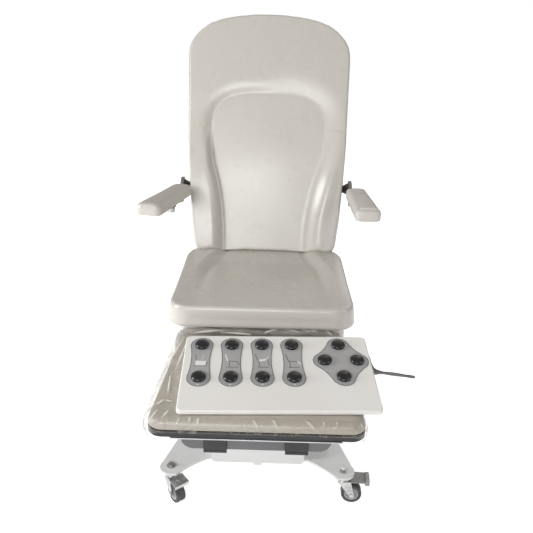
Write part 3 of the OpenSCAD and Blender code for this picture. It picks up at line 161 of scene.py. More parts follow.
# Cord of the foot control: a round rubber cable that leaves the housing's right side,
# turns over the leg rest's edge and comes back, with its spare length wound in a flat
# hank behind the housing. Its plug lies at the hank's end.
def new_group(name, entries, results):
    """A shader node group with named inputs (name, kind, value) and outputs (name, kind)."""
    tree = bpy.data.node_groups.new(name, "ShaderNodeTree")
    for title, kind, value in entries:
        socket = tree.interface.new_socket(title, in_out="INPUT", socket_type="NodeSocket" + kind)
        socket.default_value = value
    for title, kind in results:
        tree.interface.new_socket(title, in_out="OUTPUT", socket_type="NodeSocket" + kind)
    return tree, tree.nodes.new("NodeGroupInput").outputs, tree.nodes.new("NodeGroupOutput").inputs


def finish(name, roughness=0.5, metallic=0.0, **plain_sockets):
    """A material with its shader; uniform values stand on the shader's own sockets."""
    made = bpy.data.materials.new(name)
    made.use_nodes = True
    tree = made.node_tree
    tree.nodes.clear()
    shader = add_node(tree, "BsdfPrincipled", {"Roughness": roughness, "Metallic": metallic})
    for key, value in plain_sockets.items():
        shader.inputs[key.replace("_", " ")].default_value = value
    add_node(tree, "OutputMaterial", {"Surface": shader.outputs[0]})
    return made, tree, shader


# Tone: two colours drift into each other in soft clouds, and the roughness with them
tone_group, given, result = new_group(
    "tone",
    [("Tint", "Color", (1, 1, 1, 1)), ("Shade", "Color", (0, 0, 0, 1)), ("Scale", "Float", 8.0),
     ("Rough low", "Float", 0.4), ("Rough high", "Float", 0.5)],
    [("Color", "Color"), ("Roughness", "Float")],
)
where = add_node(tone_group, "TexCoord")
clouds = add_node(
    tone_group, "TexNoise", {"Vector": where.outputs["Object"], "Scale": given["Scale"], "Detail": 4.0}
)
spread = add_node(tone_group, "MapRange", {0: clouds.outputs["Fac"], 1: 0.32, 2: 0.68})
mixed = add_node(
    tone_group, "Mix", {0: spread.outputs[0], 6: given["Tint"], 7: given["Shade"]}, data_type="RGBA"
)
smudge = add_node(tone_group, "TexNoise", {"Vector": where.outputs["Object"], "Scale": 17.0, "Detail": 1.0})
rough = add_node(
    tone_group, "MapRange",
    {0: smudge.outputs["Fac"], 1: 0.3, 2: 0.7, 3: given["Rough low"], 4: given["Rough high"]},
)
tone_group.links.new(mixed.outputs[2], result["Color"])
tone_group.links.new(rough.outputs[0], result["Roughness"])

# Texture: a fine noise, stretched along an axis for brushed metal or even for paint
texture_group, given, result = new_group(
    "texture",
    [("Scale", "Float", 600.0), ("Stretch", "Vector", (1, 1, 1))],
    [("Height", "Float")],
)
where = add_node(texture_group, "TexCoord")
drawn = add_node(
    texture_group, "VectorMath", {0: where.outputs["Object"], 1: given["Stretch"]}, operation="MULTIPLY"
)
fine = add_node(
    texture_group, "TexNoise", {"Vector": drawn.outputs[0], "Scale": given["Scale"], "Detail": 3.0}
)
texture_group.links.new(fine.outputs["Fac"], result["Height"])


def add_tone(tree, tint, shade, scale, rough):
    """A tone group node with its values."""
    tone = add_node(tree, "Group", node_tree=tone_group)
    values = {"Tint": tint, "Shade": shade, "Scale": scale, "Rough low": rough[0], "Rough high": rough[1]}
    for key, value in values.items():
        tone.inputs[key].default_value = value
    return tone


def toned(
    name, tint, shade, scale=8.0, rough=(0.4, 0.5), texture=600.0, stretch=(1, 1, 1), bump=0.15,
    depth=0.0003, metallic=0.0, **plain_sockets
):
    """A finish of drifting tone and fine texture, used for painted, moulded and metal parts."""
    made, tree, shader = finish(name, metallic=metallic, **plain_sockets)
    tone = add_tone(tree, tint, shade, scale, rough)
    tree.links.new(tone.outputs["Color"], shader.inputs["Base Color"])
    tree.links.new(tone.outputs["Roughness"], shader.inputs["Roughness"])
    grain = add_node(tree, "Group", node_tree=texture_group)
    grain.inputs["Scale"].default_value = texture
    grain.inputs["Stretch"].default_value = stretch
    relief = add_node(tree, "Bump", {"Height": grain.outputs["Height"], "Strength": bump, "Distance": depth})
    tree.links.new(relief.outputs[0], shader.inputs["Normal"])
    return made


def dress(material, *names):
    """Gives CAD nodes their finish."""
    for name in names:
        slots = nodes[name].material_slots
        if not slots:
            nodes[name].data.materials.append(material)
        for entry in slots:
            entry.material = material


LEG_REST = (
    Matrix.Translation((0.015, -0.578, 0.4454)) @ Matrix.Rotation(math.radians(2.3), 4, "X")
)
CORD_R = 0.0035
SOFT_GAP = 0.0004
# Millimetres across, back and up in the leg rest's own plane
CORD_ROUTE = [
    (315.5, 197, 20), (331, 197.6, 20), (348, 197.6, 19.5), (366, 196.5, 18), (384, 195, 15.5), (400, 194, 12.5),
    (411, 198, 9), (416, 206, 4), (412, 214, 0), (402, 219, -2), (386, 220, -2), (368, 220, 0),
    (350, 220, 2), (334, 221, 5), (320, 224, 7), (312, 233, 7), (309, 249, 6), (308, 265, 5),
    (308, 283, 5), (308, 300, 4.5), (306, 314, 4), (298, 325, 4), (284, 329.5, 4), (264, 330.5, 4),
    (246, 329, 4), (228, 327.5, 4), (210, 326.5, 4), (194, 326, 4), (178, 326, 4),
]
HANK_HALF, HANK_R, HANK_STEP = 0.074, 0.033, 0.0078
HANK_X, HANK_D = 0.096, 0.359
HANK_TURNS, HANK_PEAK, HANK_POINTS = 3.25, 2, 24
HANK_CLIMB = (1.88, 2.2)


def hank_point(turn):
    """A point of the hank, in turns from its outer start, in the leg rest's own plane."""
    quarter = 4 * (turn - math.floor(turn))
    r = HANK_R - HANK_STEP * min(turn, 2 * HANK_PEAK - turn)
    rise = min(1, max(0, (turn - HANK_CLIMB[0]) / (HANK_CLIMB[1] - HANK_CLIMB[0])))
    height = CORD_R + SOFT_GAP + HANK_STEP * rise * rise * (3 - 2 * rise)
    angle = math.pi * (quarter % 1 if quarter != 4 else 0)
    if quarter < 1:
        run = (HANK_HALF * (1 - 2 * quarter), -r)
    elif quarter < 2:
        run = (-HANK_HALF - r * math.sin(angle), -r * math.cos(angle))
    elif quarter < 3:
        run = (HANK_HALF * (2 * quarter - 5), r)
    else:
        run = (HANK_HALF + r * math.sin(angle), r * math.cos(angle))
    return Vector((HANK_X + run[0], HANK_D + run[1], height))


route = [Vector(p) / 1000 for p in CORD_ROUTE]
route += [hank_point(i / HANK_POINTS) for i in range(round(HANK_TURNS * HANK_POINTS) + 1)]
tail = HANK_R + 3 * CORD_R
route += [route[-1] - Vector((tail * i / 5, 0, 0)) for i in range(1, 6)]
route = [LEG_REST @ p for p in route]

cord_curve = bpy.data.curves.new("cord", "CURVE")
cord_curve.dimensions = "3D"
cord_curve.bevel_depth = CORD_R
cord_curve.bevel_resolution = 3
cord_curve.use_fill_caps = True
line = cord_curve.splines.new("NURBS")
line.points.add(len(route) - 1)
for point, p in zip(line.points, route):
    point.co = (*p, 1)
line.use_endpoint_u = True
line.order_u = 3
line.resolution_u = 3
cord = bpy.data.objects.new("cord", cord_curve)
bpy.context.collection.objects.link(cord)
cord_finish = toned(
    "cord_rubber", linear(118, 119, 121), linear(98, 99, 101), scale=30, rough=(0.42, 0.6), texture=900
)
cord_curve.materials.append(cord_finish)
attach(cord, "foot_control")
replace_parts(cord, "control_cord", "cord_hank")
plug_finish = toned("plug_plastic", linear(40, 41, 43), linear(30, 31, 33), rough=(0.35, 0.5))
dress(plug_finish, "plug")
dress(cord_finish, "cable_gland")


# Painted steel: base plate, cover and the box wall under the seat, sprayed cool white
# with a slight orange peel. The cover is a folded tray over the plate's middle.
white_paint = toned(
    "white_paint", linear(233, 233, 233), linear(227, 227, 227), scale=5, rough=(0.28, 0.4),
    texture=260, bump=0.12, depth=0.0005, Coat_Weight=0.25, Coat_Roughness=0.2,
)
dress(white_paint, "base_plate", "base_cover", "seat_skirt")


# Metal: zinc-plated castors and bolts, brushed stainless plates, drawn column profiles,
# and dark painted tube frames that carry the seat and the backrest.
zinc = toned(
    "zinc_plate", linear(206, 206, 204), linear(170, 171, 171), scale=60, rough=(0.25, 0.45),
    texture=300, metallic=1.0, bump=0.1,
)
steel = toned(
    "brushed_steel", linear(196, 198, 200), linear(176, 178, 181), scale=12, rough=(0.25, 0.38),
    texture=80, stretch=(1, 14, 14), metallic=1.0, bump=0.12, depth=0.0002,
)
anodised = toned(
    "anodised_profile", linear(198, 200, 203), linear(184, 186, 190), scale=10, rough=(0.3, 0.42),
    texture=90, stretch=(14, 14, 1), metallic=0.85, bump=0.12, depth=0.0002,
)
dark_paint = toned(
    "dark_paint", linear(74, 75, 77), linear(62, 63, 65), scale=9, rough=(0.42, 0.55), texture=420, bump=0.2
)
dress(
    zinc, "castor_bolts", "front_left_fork", "front_right_fork", "rear_left_fork", "rear_right_fork",
    "front_left_brake",
)
dress(steel, "leg_frame", "left_arm_plate", "right_arm_plate", "back_rod", "leg_rod", "hinge_pins")
dress(anodised, "column_outer", "column_middle", "column_inner", "back_actuator", "leg_actuator")
arm_paint = toned(
    "arm_paint", linear(126, 124, 120), linear(112, 110, 107), rough=(0.4, 0.52), texture=420, bump=0.2
)
dress(dark_paint, "seat_frame", "back_frame")
dress(arm_paint, "left_arm", "right_arm")


# Upholstery: foam covered in pale grey vinyl with a fine pebble grain. Each cushion is
# remeshed from its plain solid, blown up a little as cloth, and then worked point by point.
GRAIN_SCALE, SOFT_SCALE, VINYL_TONE_SCALE = 760.0, 210.0, 2.2
# Painted shade: the grain's hollows are darkened towards this brown, by up to this share of it
PIT_SHADE_COLOUR, PIT_SHADE_STRENGTH = (0.25, 0.23, 0.2, 1), 0.02
vinyl_group, given, result = new_group(
    "vinyl_grain", [("Scale", "Float", GRAIN_SCALE)], [("Height", "Float"), ("Valley", "Float")]
)
where = add_node(vinyl_group, "TexCoord")
pebble = add_node(
    vinyl_group, "TexVoronoi", {"Vector": where.outputs["Object"], "Scale": given["Scale"]}, feature="SMOOTH_F1"
)
soft = add_node(
    vinyl_group, "TexNoise", {"Vector": where.outputs["Object"], "Scale": SOFT_SCALE, "Detail": 0.0}
)
sunk = add_node(vinyl_group, "MapRange", {0: pebble.outputs["Distance"], 1: 0.1, 2: 0.6, 3: 1.0, 4: 0.0})
sum_up = add_node(
    vinyl_group, "Math", {0: soft.outputs["Fac"], 1: 0.6, 2: sunk.outputs[0]}, operation="MULTIPLY_ADD"
)
vinyl_group.links.new(sum_up.outputs[0], result["Height"])
vinyl_group.links.new(sunk.outputs[0], result["Valley"])


def vinyl(name, tint, shade, rough=(0.34, 0.46), bump=0.06):
    """Vinyl cover: drifting tone, pebble grain in relief with painted shade in its hollows, and a faint sheen.
    """
    made, tree, shader = finish(name, Coat_Weight=0.3, Coat_Roughness=0.2, Sheen_Weight=0.05)
    tone = add_tone(tree, tint, shade, VINYL_TONE_SCALE, rough)
    grain = add_node(tree, "Group", node_tree=vinyl_group)
    dip = add_node(tree, "MapRange", {0: grain.outputs["Valley"], 1: 0.0, 2: 1.0, 3: PIT_SHADE_STRENGTH, 4: 0.0})
    pit_shade = add_node(
        tree, "Mix", {0: dip.outputs[0], 6: tone.outputs["Color"], 7: PIT_SHADE_COLOUR}, data_type="RGBA"
    )
    tree.links.new(pit_shade.outputs[2], shader.inputs["Base Color"])
    tree.links.new(tone.outputs["Roughness"], shader.inputs["Roughness"])
    relief = add_node(tree, "Bump", {"Height": grain.outputs["Height"], "Strength": bump, "Distance": 0.0002})
    tree.links.new(relief.outputs[0], shader.inputs["Normal"])
    return made


grey_vinyl = vinyl("grey_vinyl", linear(205, 201, 194), linear(203, 199, 191), rough=(0.27, 0.29))
leg_vinyl = vinyl("leg_vinyl", linear(190, 184, 174), linear(176, 169, 158))
SIM_FRAMES = 20
PRESSURE = 4.0


def settle(piece):
    """Applies the piece's modifiers."""
    graph = bpy.context.evaluated_depsgraph_get()
    made = bpy.data.meshes.new_from_object(piece.evaluated_get(graph))
    piece.modifiers.clear()
    piece.data = made


def even_copy(name, node, voxel, rounds):
    """A CAD cushion's merged copy, remeshed in even faces and smoothed."""
    piece = bpy.data.objects.new(name, nodes[node].data.copy())
    bpy.context.collection.objects.link(piece)
    shape = bmesh.new()
    shape.from_mesh(piece.data)
    bmesh.ops.remove_doubles(shape, verts=shape.verts, dist=1e-5)
    shape.to_mesh(piece.data)
    shape.free()
    remesh = piece.modifiers.new("even", "REMESH")
    remesh.mode = "VOXEL"
    remesh.voxel_size = voxel
    settle(piece)
    shape = bmesh.new()
    shape.from_mesh(piece.data)
    for _ in range(rounds):
        bmesh.ops.smooth_vert(
            shape, verts=shape.verts, factor=0.5, use_axis_x=True, use_axis_y=True, use_axis_z=True
        )
    shape.to_mesh(piece.data)
    shape.free()
    return piece


def blow_up(piece, cap, held):
    """Swells a cushion as cloth under pressure; no point moves further than cap, and held(p),
    from 0 to 1, says how firmly a point is fixed to its board."""
    cloth = piece.modifiers.new("cover", "CLOTH")
    cloth.settings.use_pressure = True
    cloth.settings.uniform_pressure_force = PRESSURE
    cloth.settings.effector_weights.gravity = 0
    for number in range(1, SIM_FRAMES + 1):
        bpy.context.scene.frame_set(number)
    graph = bpy.context.evaluated_depsgraph_get()
    swollen = [v.co.copy() for v in piece.evaluated_get(graph).data.vertices]
    bpy.context.scene.frame_set(1)
    piece.modifiers.clear()
    for point, there in zip(piece.data.vertices, swollen):
        step = there - point.co
        if step.length > cap:
            step *= cap / step.length
        point.co += step * (1 - held(point.co))


def bell(distance, width):
    """1 at no distance, falling off to 0 over the width."""
    return math.exp(-((distance / width) ** 2))


def along(value, table):
    """Straight-line reading of a table of (place, value) pairs."""
    for (a, low), (b, high) in zip(table, table[1:]):
        if value <= b:
            return low + (high - low) * min(1, max(0, (value - a) / (b - a)))
    return table[-1][1]


def upholster(piece, body, cover, fill, *replaced):
    """Last touches of a padded piece: smooth shading, one subdivision, cover and body."""
    for face in piece.data.polygons:
        face.use_smooth = True
    piece.data.materials.clear()
    piece.data.materials.append(cover)
    finer = piece.modifiers.new("finer", "SUBSURF")
    finer.levels = finer.render_levels = 1
    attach(piece, body)
    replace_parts(piece, *replaced)


# Backrest cushion: one tall moulded pad, with a channel between two side bolsters that
# narrows downwards and ends in an arch below the plain head part.
BACKREST = (
    Matrix.Translation((0.015, 0.294, 0.571)) @ Matrix.Rotation(math.radians(-13.3), 4, "X")
)
# The channel's half width up the pad, the left edge's depth up the pad, and how much
# higher than the solid the top edge is, outwards from the middle
LEFT_CREASE = [
    (-0.01, 0.158), (0.08, 0.158), (0.17, 0.166), (0.26, 0.181), (0.32, 0.2), (0.41, 0.208), (0.47, 0.203),
]
RIGHT_CREASE = [
    (-0.01, 0.137), (0.11, 0.142), (0.18, 0.153), (0.26, 0.172), (0.34, 0.198), (0.43, 0.21), (0.47, 0.206),
]
LEFT_FADE = [(0.0, 0.35), (0.12, 0.6), (0.2, 1.0), (0.36, 1.0), (0.42, 0.35), (0.47, 0.12)]
ARCH_FOOT, ARCH_RISE = 0.44, 0.132
TOP_LIFT = [
    (0.0, 0.008), (0.07, 0.01), (0.13, 0.015), (0.17, 0.017), (0.205, 0.013), (0.24, 0.004), (0.262, 0.0),
]
BOLSTER, HEAD_SHARE = 0.026, 0.34
back_cushion = even_copy("backrest_cushion", "back_cushion", 0.0065, 5)
from_back = BACKREST.inverted()
blow_up(back_cushion, 0.004, lambda p: min(1, max(0, ((from_back @ p).y - 0.02) / 0.03)))


def smooth(value):
    """0 to 1 with soft ends."""
    value = min(1, max(0, value))
    return value * value * (3 - 2 * value)


def channel_gap(x, z, table):
    """Distance from the channel's edge, below 0 inside it."""
    crease = sum(along(z + k * 0.014, table) for k in (-2, -1, 0, 1, 2)) / 5
    if z < ARCH_FOOT:
        return abs(x) - crease
    side, rise = abs(x / crease), (z - ARCH_FOOT) / ARCH_RISE
    slope = 3.0 * math.hypot(side ** 2 / crease, rise ** 2 / ARCH_RISE)
    return (side ** 3 + rise ** 3 - 1) / max(slope, 5.0)


for point in back_cushion.data.vertices:
    p = from_back @ point.co
    height = BOLSTER * (HEAD_SHARE + (1 - HEAD_SHARE) * (1 - smooth((p.z - 0.22) / 0.3)))
    gap = channel_gap(p.x, p.z, LEFT_CREASE)
    deep = along(p.z, LEFT_FADE)
    left = -height * smooth((gap + 0.004) / 0.042)
    left += 0.0085 * deep * (bell(gap + 0.001, 0.006) - bell(gap - 0.016, 0.011))
    gap = channel_gap(p.x, p.z, RIGHT_CREASE)
    right = -height * smooth((gap + 0.006) / 0.066)
    right -= 0.0045 * bell(p.z - 0.24, 0.15) * bell(gap - 0.062, 0.022)
    face = left + (right - left) * smooth(0.5 + p.x / 0.16)
    face -= 0.003 * bell(p.x, 0.13) * bell(p.z - 0.33, 0.16) - 0.0004 * noise.noise(p * 6.0)
    p.y += (face - p.y) * smooth(1.3 - (p.y - face) / 0.02)
    p.z += along(abs(p.x), TOP_LIFT) * smooth((p.z - 0.62) / 0.18)
    p.z -= 0.012 * smooth((0.07 - p.z) / 0.06)
    point.co = BACKREST @ p
upholster(back_cushion, "backrest", grey_vinyl, 0.8, "back_cushion")


# Seat cushion: a flat middle between bolsters that rise towards the backrest and fade
# out at the rounded front edge.
SEAT_CREASE = [(-0.152, 0.207), (-0.028, 0.2), (0.133, 0.186), (0.267, 0.144), (0.31, 0.14)]
SEAT_FOOT, SEAT_FRONT, SEAT_DEPTH = 0.484, 0.183, 0.482
SEAT_PAD, SEAT_RISE, SEAT_BOLSTER, SEAT_MID = 0.07, 0.003, 0.02, 0.015
seat_cushion = even_copy("seat_cushion_cover", "seat_cushion", 0.007, 6)
blow_up(seat_cushion, 0.005, lambda p: min(1, max(0, (SEAT_FOOT + 0.03 - p.z) / 0.02)))
for point in seat_cushion.data.vertices:
    p = point.co
    if p.z > SEAT_FOOT + 0.03:
        side = abs(p.x - SEAT_MID)
        inner = along(p.y, SEAT_CREASE)
        back = min(1, max(0, (p.y + SEAT_FRONT) / SEAT_DEPTH))
        top = SEAT_FOOT + SEAT_PAD + SEAT_RISE * back
        top -= 0.004 * bell(side, 0.12) * smooth(back) * (1 - back)
        top += SEAT_BOLSTER * smooth((back - 0.12) / 0.88) * smooth((side - inner + 0.004) / 0.056)
        top -= 0.003 * back * bell(side - inner, 0.012) - 0.0003 * noise.noise(p * 6.0)
        p.z += (top - p.z) * smooth(1.3 - (top - p.z) / 0.02)
        p.z += 0.01 * smooth((p.y - 0.19) / 0.09) * (1 - smooth((side - 0.15) / 0.07))
        p.y += 0.03 * smooth((p.y - 0.235) / 0.06)
upholster(seat_cushion, "seat", grey_vinyl, 0.75, "seat_cushion")


# Leg rest pad: thin foam in taupe vinyl on a black board, still in its packing film.
leg_pad = even_copy("leg_rest_pad", "leg_cushion", 0.0055, 4)
from_leg = LEG_REST.inverted()
blow_up(leg_pad, 0.003, lambda p: min(1, max(0, (-0.012 - (from_leg @ p).z) / 0.008)))
for point in leg_pad.data.vertices:
    p = from_leg @ point.co
    if p.z > -0.02:
        p.z -= 0.0012 + 0.0006 * noise.noise(p * 14.0)
        point.co = LEG_REST @ p
upholster(leg_pad, "leg_rest", leg_vinyl, 0.7, "leg_cushion")


# Armrest pads: firm foam on a steel plate, in the same vinyl as the seat.
for side in ("left", "right"):
    arm_pad = even_copy(side + "_armrest_pad", side + "_arm_pad", 0.004, 4)
    foot = min(v.co.z for v in arm_pad.data.vertices)
    blow_up(arm_pad, 0.0015, lambda p: min(1, max(0, (foot + 0.012 - p.z) / 0.008)))
    upholster(arm_pad, side + "_pad", grey_vinyl, 0.85, side + "_arm_pad")


# Moulded shell behind the backrest, black carrier board, mains inlet: pressed plastic
shell_plastic = toned(
    "shell_plastic", linear(214, 211, 205), linear(206, 203, 197), rough=(0.4, 0.52), texture=700, bump=0.25
)
black_plastic = toned("black_plastic", linear(38, 38, 40), linear(28, 28, 30), rough=(0.32, 0.5), texture=500)
dress(shell_plastic, "back_shell")
dress(black_plastic, "leg_board", "mains_inlet", "control_bottom")


# Packing film over the leg rest: one clear sheet, laid over the pad, tucked down its
# edges and gathered at the corners, with loose streaks and folds. Painted highlights lie
# on the tops of the streaks, on the corner pleats, in specks on the edges and along the
# left border, where the film turns whiter and less clear.
FILM_W, FILM_L, FILM_LAP = 0.588, 0.502, 0.026
FILM_STEP = 0.0026
PAD_FRONT_HALF, PAD_REAR_HALF, PAD_LENGTH, PAD_CORNER = 0.2672, 0.2472, 0.425, 0.036
FILM_LIFT, FILM_ROLL = 0.0013, 0.011
# From x, distance to x, distance, and height
STREAKS = [
    (-0.179, 0.012, -0.196, -0.016, 0.004), (-0.155, 0.024, -0.158, -0.002, 0.003),
    (-0.133, 0.022, -0.14, -0.01, 0.004), (-0.014, 0.018, 0.019, -0.022, 0.003),
    (0.025, 0.026, 0.072, -0.028, 0.004), (0.096, 0.026, 0.173, -0.028, 0.004),
    (0.156, 0.026, 0.16, 0.0, 0.0025), (0.188, 0.027, 0.189, 0.004, 0.0025),
    (0.221, 0.05, 0.224, 0.014, 0.003), (0.231, 0.05, 0.253, -0.014, 0.004),
    (-0.247, 0.058, -0.23, 0.079, 0.003), (-0.23, 0.079, -0.206, 0.07, 0.0025),
    (-0.262, 0.01, -0.25, 0.062, 0.004), (-0.249, -0.004, -0.238, 0.045, 0.0035),
    (-0.222, 0.008, -0.212, 0.04, 0.003), (-0.226, 0.38, -0.246, 0.24, 0.004),
    (-0.246, 0.24, -0.257, 0.12, 0.004), (-0.214, 0.37, -0.224, 0.21, 0.0022),
    (-0.226, 0.1, -0.234, 0.19, 0.002), (0.0, 0.403, 0.06, 0.417, 0.007),
    (0.06, 0.417, 0.13, 0.408, 0.008), (0.13, 0.408, 0.19, 0.42, 0.008),
    (0.19, 0.42, 0.228, 0.396, 0.007), (0.226, 0.396, 0.232, 0.35, 0.004),
    (-0.21, 0.4, -0.1, 0.412, 0.004), (-0.12, 0.405, 0.0, 0.398, 0.004),
    (0.09, 0.42, 0.17, 0.41, 0.006),
]
# What lies on the film and presses it flat: the control, the hank and the cord's run
PRESSED = [(-0.19, 0.304, 0.02, 0.322), (-0.02, 0.214, 0.318, 0.397), (0.17, 0.27, 0.32, 0.338)]


def pressed(x, d):
    """1 where the control or the cord lies on the film, 0 a little away from them."""
    gap = min(
        math.hypot(max(x0 - x, x - x1, 0), max(d0 - d, d - d1, 0)) for x0, x1, d0, d1 in PRESSED
    )
    return 1 - smooth(gap / 0.012)


def film_wave(x, d):
    """Height of the film's folds at a place on the pad, and the strength of the painted highlight along them
    there.
    """
    height, fold_highlight = 0.0, 0.0
    for x0, d0, x1, d1, tall in STREAKS:
        way = Vector((x1 - x0, d1 - d0))
        here = Vector((x - x0, d - d0))
        share = min(1, max(0, here.dot(way) / way.length_squared))
        off = (here - way * share).length
        body = 0.35 + 0.65 * math.sin(math.pi * (0.12 + 0.76 * share))
        height = max(height, tall * bell(off, 0.0042) * body)
        fold_highlight = max(fold_highlight, bell(off, 0.0032) * (0.4 + 0.6 * math.sin(math.pi * (0.1 + 0.8 * share))))
    place = Vector((x * 9.0, d * 17.0, 0.3))
    height += 0.0016 * (1 + noise.noise(place)) + 0.0009 * abs(noise.noise(place * 3.7))
    gathered = 0.8 + 0.35 * noise.noise(Vector((x * 16.0, d * 20.0, 8.0)))
    height += 0.019 * smooth((d - 0.392) / 0.035) * gathered
    flat = pressed(x, d)
    return height * (1 - flat) - (FILM_LIFT + 0.0006) * flat, fold_highlight * (1 - flat)


film_shape = bmesh.new()
bmesh.ops.create_grid(
    film_shape, x_segments=round(FILM_W / FILM_STEP), y_segments=round(FILM_L / FILM_STEP), size=0.5
)
# The crease attribute carries the strength of the film's painted highlight
highlight_layer = film_shape.verts.layers.float.new("crease")
veil_layer = film_shape.verts.layers.float.new("veil")
for point in film_shape.verts:
    s, t = point.co.x * FILM_W, (point.co.y + 0.5) * FILM_L - FILM_LAP
    half = PAD_FRONT_HALF + (PAD_REAR_HALF - PAD_FRONT_HALF) * min(1, max(0, t / PAD_LENGTH)) - PAD_CORNER
    core_x = min(half, max(-half, s))
    core_d = min(PAD_LENGTH - PAD_CORNER, max(PAD_CORNER, t))
    out = Vector((s - core_x, t - core_d))
    reach = out.length
    way = out / reach if reach > 1e-9 else Vector((0, 0))
    rise, fold_highlight = film_wave(s, t)
    over = reach - (PAD_CORNER - FILM_ROLL)
    corner = abs(way.x * way.y) * 2
    if over <= 0:
        x, d, z = s, t, FILM_LIFT + rise
    else:
        angle = min(math.pi / 2, over / FILM_ROLL)
        drop = max(0, over - FILM_ROLL * math.pi / 2)
        lap = FILM_LIFT + rise * (1 - 0.4 * min(1, over / 0.03))
        lap += 0.005 * max(0, -way.x) * math.sin(angle) * (1 + 0.6 * noise.noise(Vector((0, t * 14, 5.0))))
        pleat = 0.0028 * corner * math.sin(34 * math.atan2(way.y, way.x)) * min(1, over / 0.02)
        radius = PAD_CORNER - FILM_ROLL + (FILM_ROLL + lap) * math.sin(angle) + pleat
        wrinkle = 0.0012 * noise.noise(Vector((s * 40, t * 40, drop * 25))) * min(1, over / 0.015)
        x, d = core_x + way.x * (radius + wrinkle), core_d + way.y * (radius + wrinkle)
        z = -FILM_ROLL + (FILM_ROLL + lap) * math.cos(angle) - drop
        # Painted glints: white specks on the film's tucked edges, and a painted highlight on the corner pleats
        glint_specks = 0.5 * max(0, noise.noise(Vector((s * 60, t * 60, 2.0))))
        fold_highlight = max(fold_highlight * (1 - min(1, over / 0.03)), abs(pleat) * 200, glint_specks)
        border = 0.75 + 0.5 * noise.noise(Vector((1.0, t * 30, 4.0)))
        # Painted highlight along the roll of the film's left border
        fold_highlight = max(fold_highlight, 0.7 * max(0, -way.x) * bell(over - 0.008, 0.008) * border)
    point.co = LEG_REST @ Vector((x, d, z))
    point[highlight_layer] = min(1, fold_highlight)
    cloudy = 0.75 + 0.5 * noise.noise(Vector((s * 22, t * 22, 6.0)))
    point[veil_layer] = cloudy * max(0.85 * smooth((t - 0.395) / 0.02), 0.4 * smooth((-s - 0.235) / 0.03))
film_mesh = bpy.data.meshes.new("packing_film")
film_shape.to_mesh(film_mesh)
film_shape.free()
film = bpy.data.objects.new("packing_film", film_mesh)
bpy.context.collection.objects.link(film)
for face in film_mesh.polygons:
    face.use_smooth = True
# Painted highlight: where the crease attribute is high, the film turns near white and loses its clearness
clear_film, tree, shader = finish("clear_film", roughness=0.12, Specular_IOR_Level=0.8)
fold = add_node(tree, "Attribute", attribute_name="crease")
where = add_node(tree, "TexCoord")
crumple = add_node(
    tree, "TexNoise", {"Vector": where.outputs["Object"], "Scale": 46.0, "Detail": 5.0, "Distortion": 1.4}
)
spark = add_node(tree, "MapRange", {0: crumple.outputs["Fac"], 1: 0.52, 2: 0.7, 3: 0.08, 4: 0.36})
highlight = add_node(tree, "MapRange", {0: fold.outputs["Fac"], 1: 0.3, 2: 0.8, 3: 0.0, 4: 0.92})
veil = add_node(tree, "Attribute", attribute_name="veil")
cover = add_node(tree, "Math", {0: spark.outputs[0], 1: highlight.outputs[0]}, operation="MAXIMUM")
cover = add_node(tree, "Math", {0: cover.outputs[0], 1: veil.outputs["Fac"]}, operation="MAXIMUM")
tree.links.new(cover.outputs[0], shader.inputs["Alpha"])
highlight_colour = add_node(
    tree, "Mix", {0: highlight.outputs[0], 6: linear(206, 200, 190), 7: linear(250, 250, 248)}, data_type="RGBA"
)
tree.links.new(highlight_colour.outputs[2], shader.inputs["Base Color"])
relief = add_node(tree, "Bump", {"Height": crumple.outputs["Fac"], "Strength": 0.5, "Distance": 0.002})
tree.links.new(relief.outputs[0], shader.inputs["Normal"])
film_mesh.materials.append(clear_film)
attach(film, "leg_rest")


# Foot control: moulded housing with a raised rear, grey key panels with a dark rim,
# twelve glossy push buttons, and small pictures that show which part of the chair moves.
housing_plastic = toned(
    "housing_plastic", linear(243, 242, 240), linear(238, 236, 233), scale=3, rough=(0.32, 0.42), texture=800,
    bump=0.18, Coat_Weight=0.1, Coat_Roughness=0.3,
)
panel_plastic = toned(
    "panel_plastic", linear(178, 178, 178), linear(172, 172, 173), scale=14, rough=(0.4, 0.55), texture=900
)
rim_plastic = toned("rim_plastic", linear(92, 92, 94), linear(82, 82, 84), rough=(0.4, 0.5), texture=900)
button_plastic = toned(
    "button_plastic", linear(36, 37, 40), linear(28, 29, 32), scale=40, rough=(0.26, 0.36), texture=500,
    bump=0.05, Coat_Weight=0.2, Coat_Roughness=0.2,
)
mark_white = toned("mark_white", linear(240, 240, 240), linear(228, 228, 228), rough=(0.4, 0.5))
mark_dark = toned("mark_dark", linear(52, 52, 54), linear(44, 44, 46), rough=(0.4, 0.5))
dress(housing_plastic, "control_housing")
dress(panel_plastic, "key_panels")
dress(button_plastic, *["button_%d" % i for i in range(1, 13)])

CONTROL_TOP = (
    LEG_REST @ Matrix.Translation((0.056, 0.035, 0)) @ Matrix.Rotation(math.radians(2.4), 4, "Z")
    @ Matrix.Translation((0, 0, 0.012)) @ Matrix.Rotation(math.radians(9.5), 4, "X")
)
PANEL_FACE, PANEL_T = 0.00125, 0.0012
PAIR_X = (-0.204, -0.1225, -0.041, 0.0405)
PAIR_MID, PAIR_HALF = 0.17325, 0.062
PAD_R, WAIST_HALF, CROSS_HOLLOW, BUTTON_HOLE = 0.031, 0.0252, 0.11, 0.0176
CROSS_MID = Vector((0.169, 0.176))
CROSS_ARMS = [Vector((0.0435, 0)), Vector((0, 0.061)), Vector((-0.0435, 0)), Vector((0, -0.061))]
RIM_W, RIM_IN, RIM_T = 0.0014, 0.0007, 0.0002


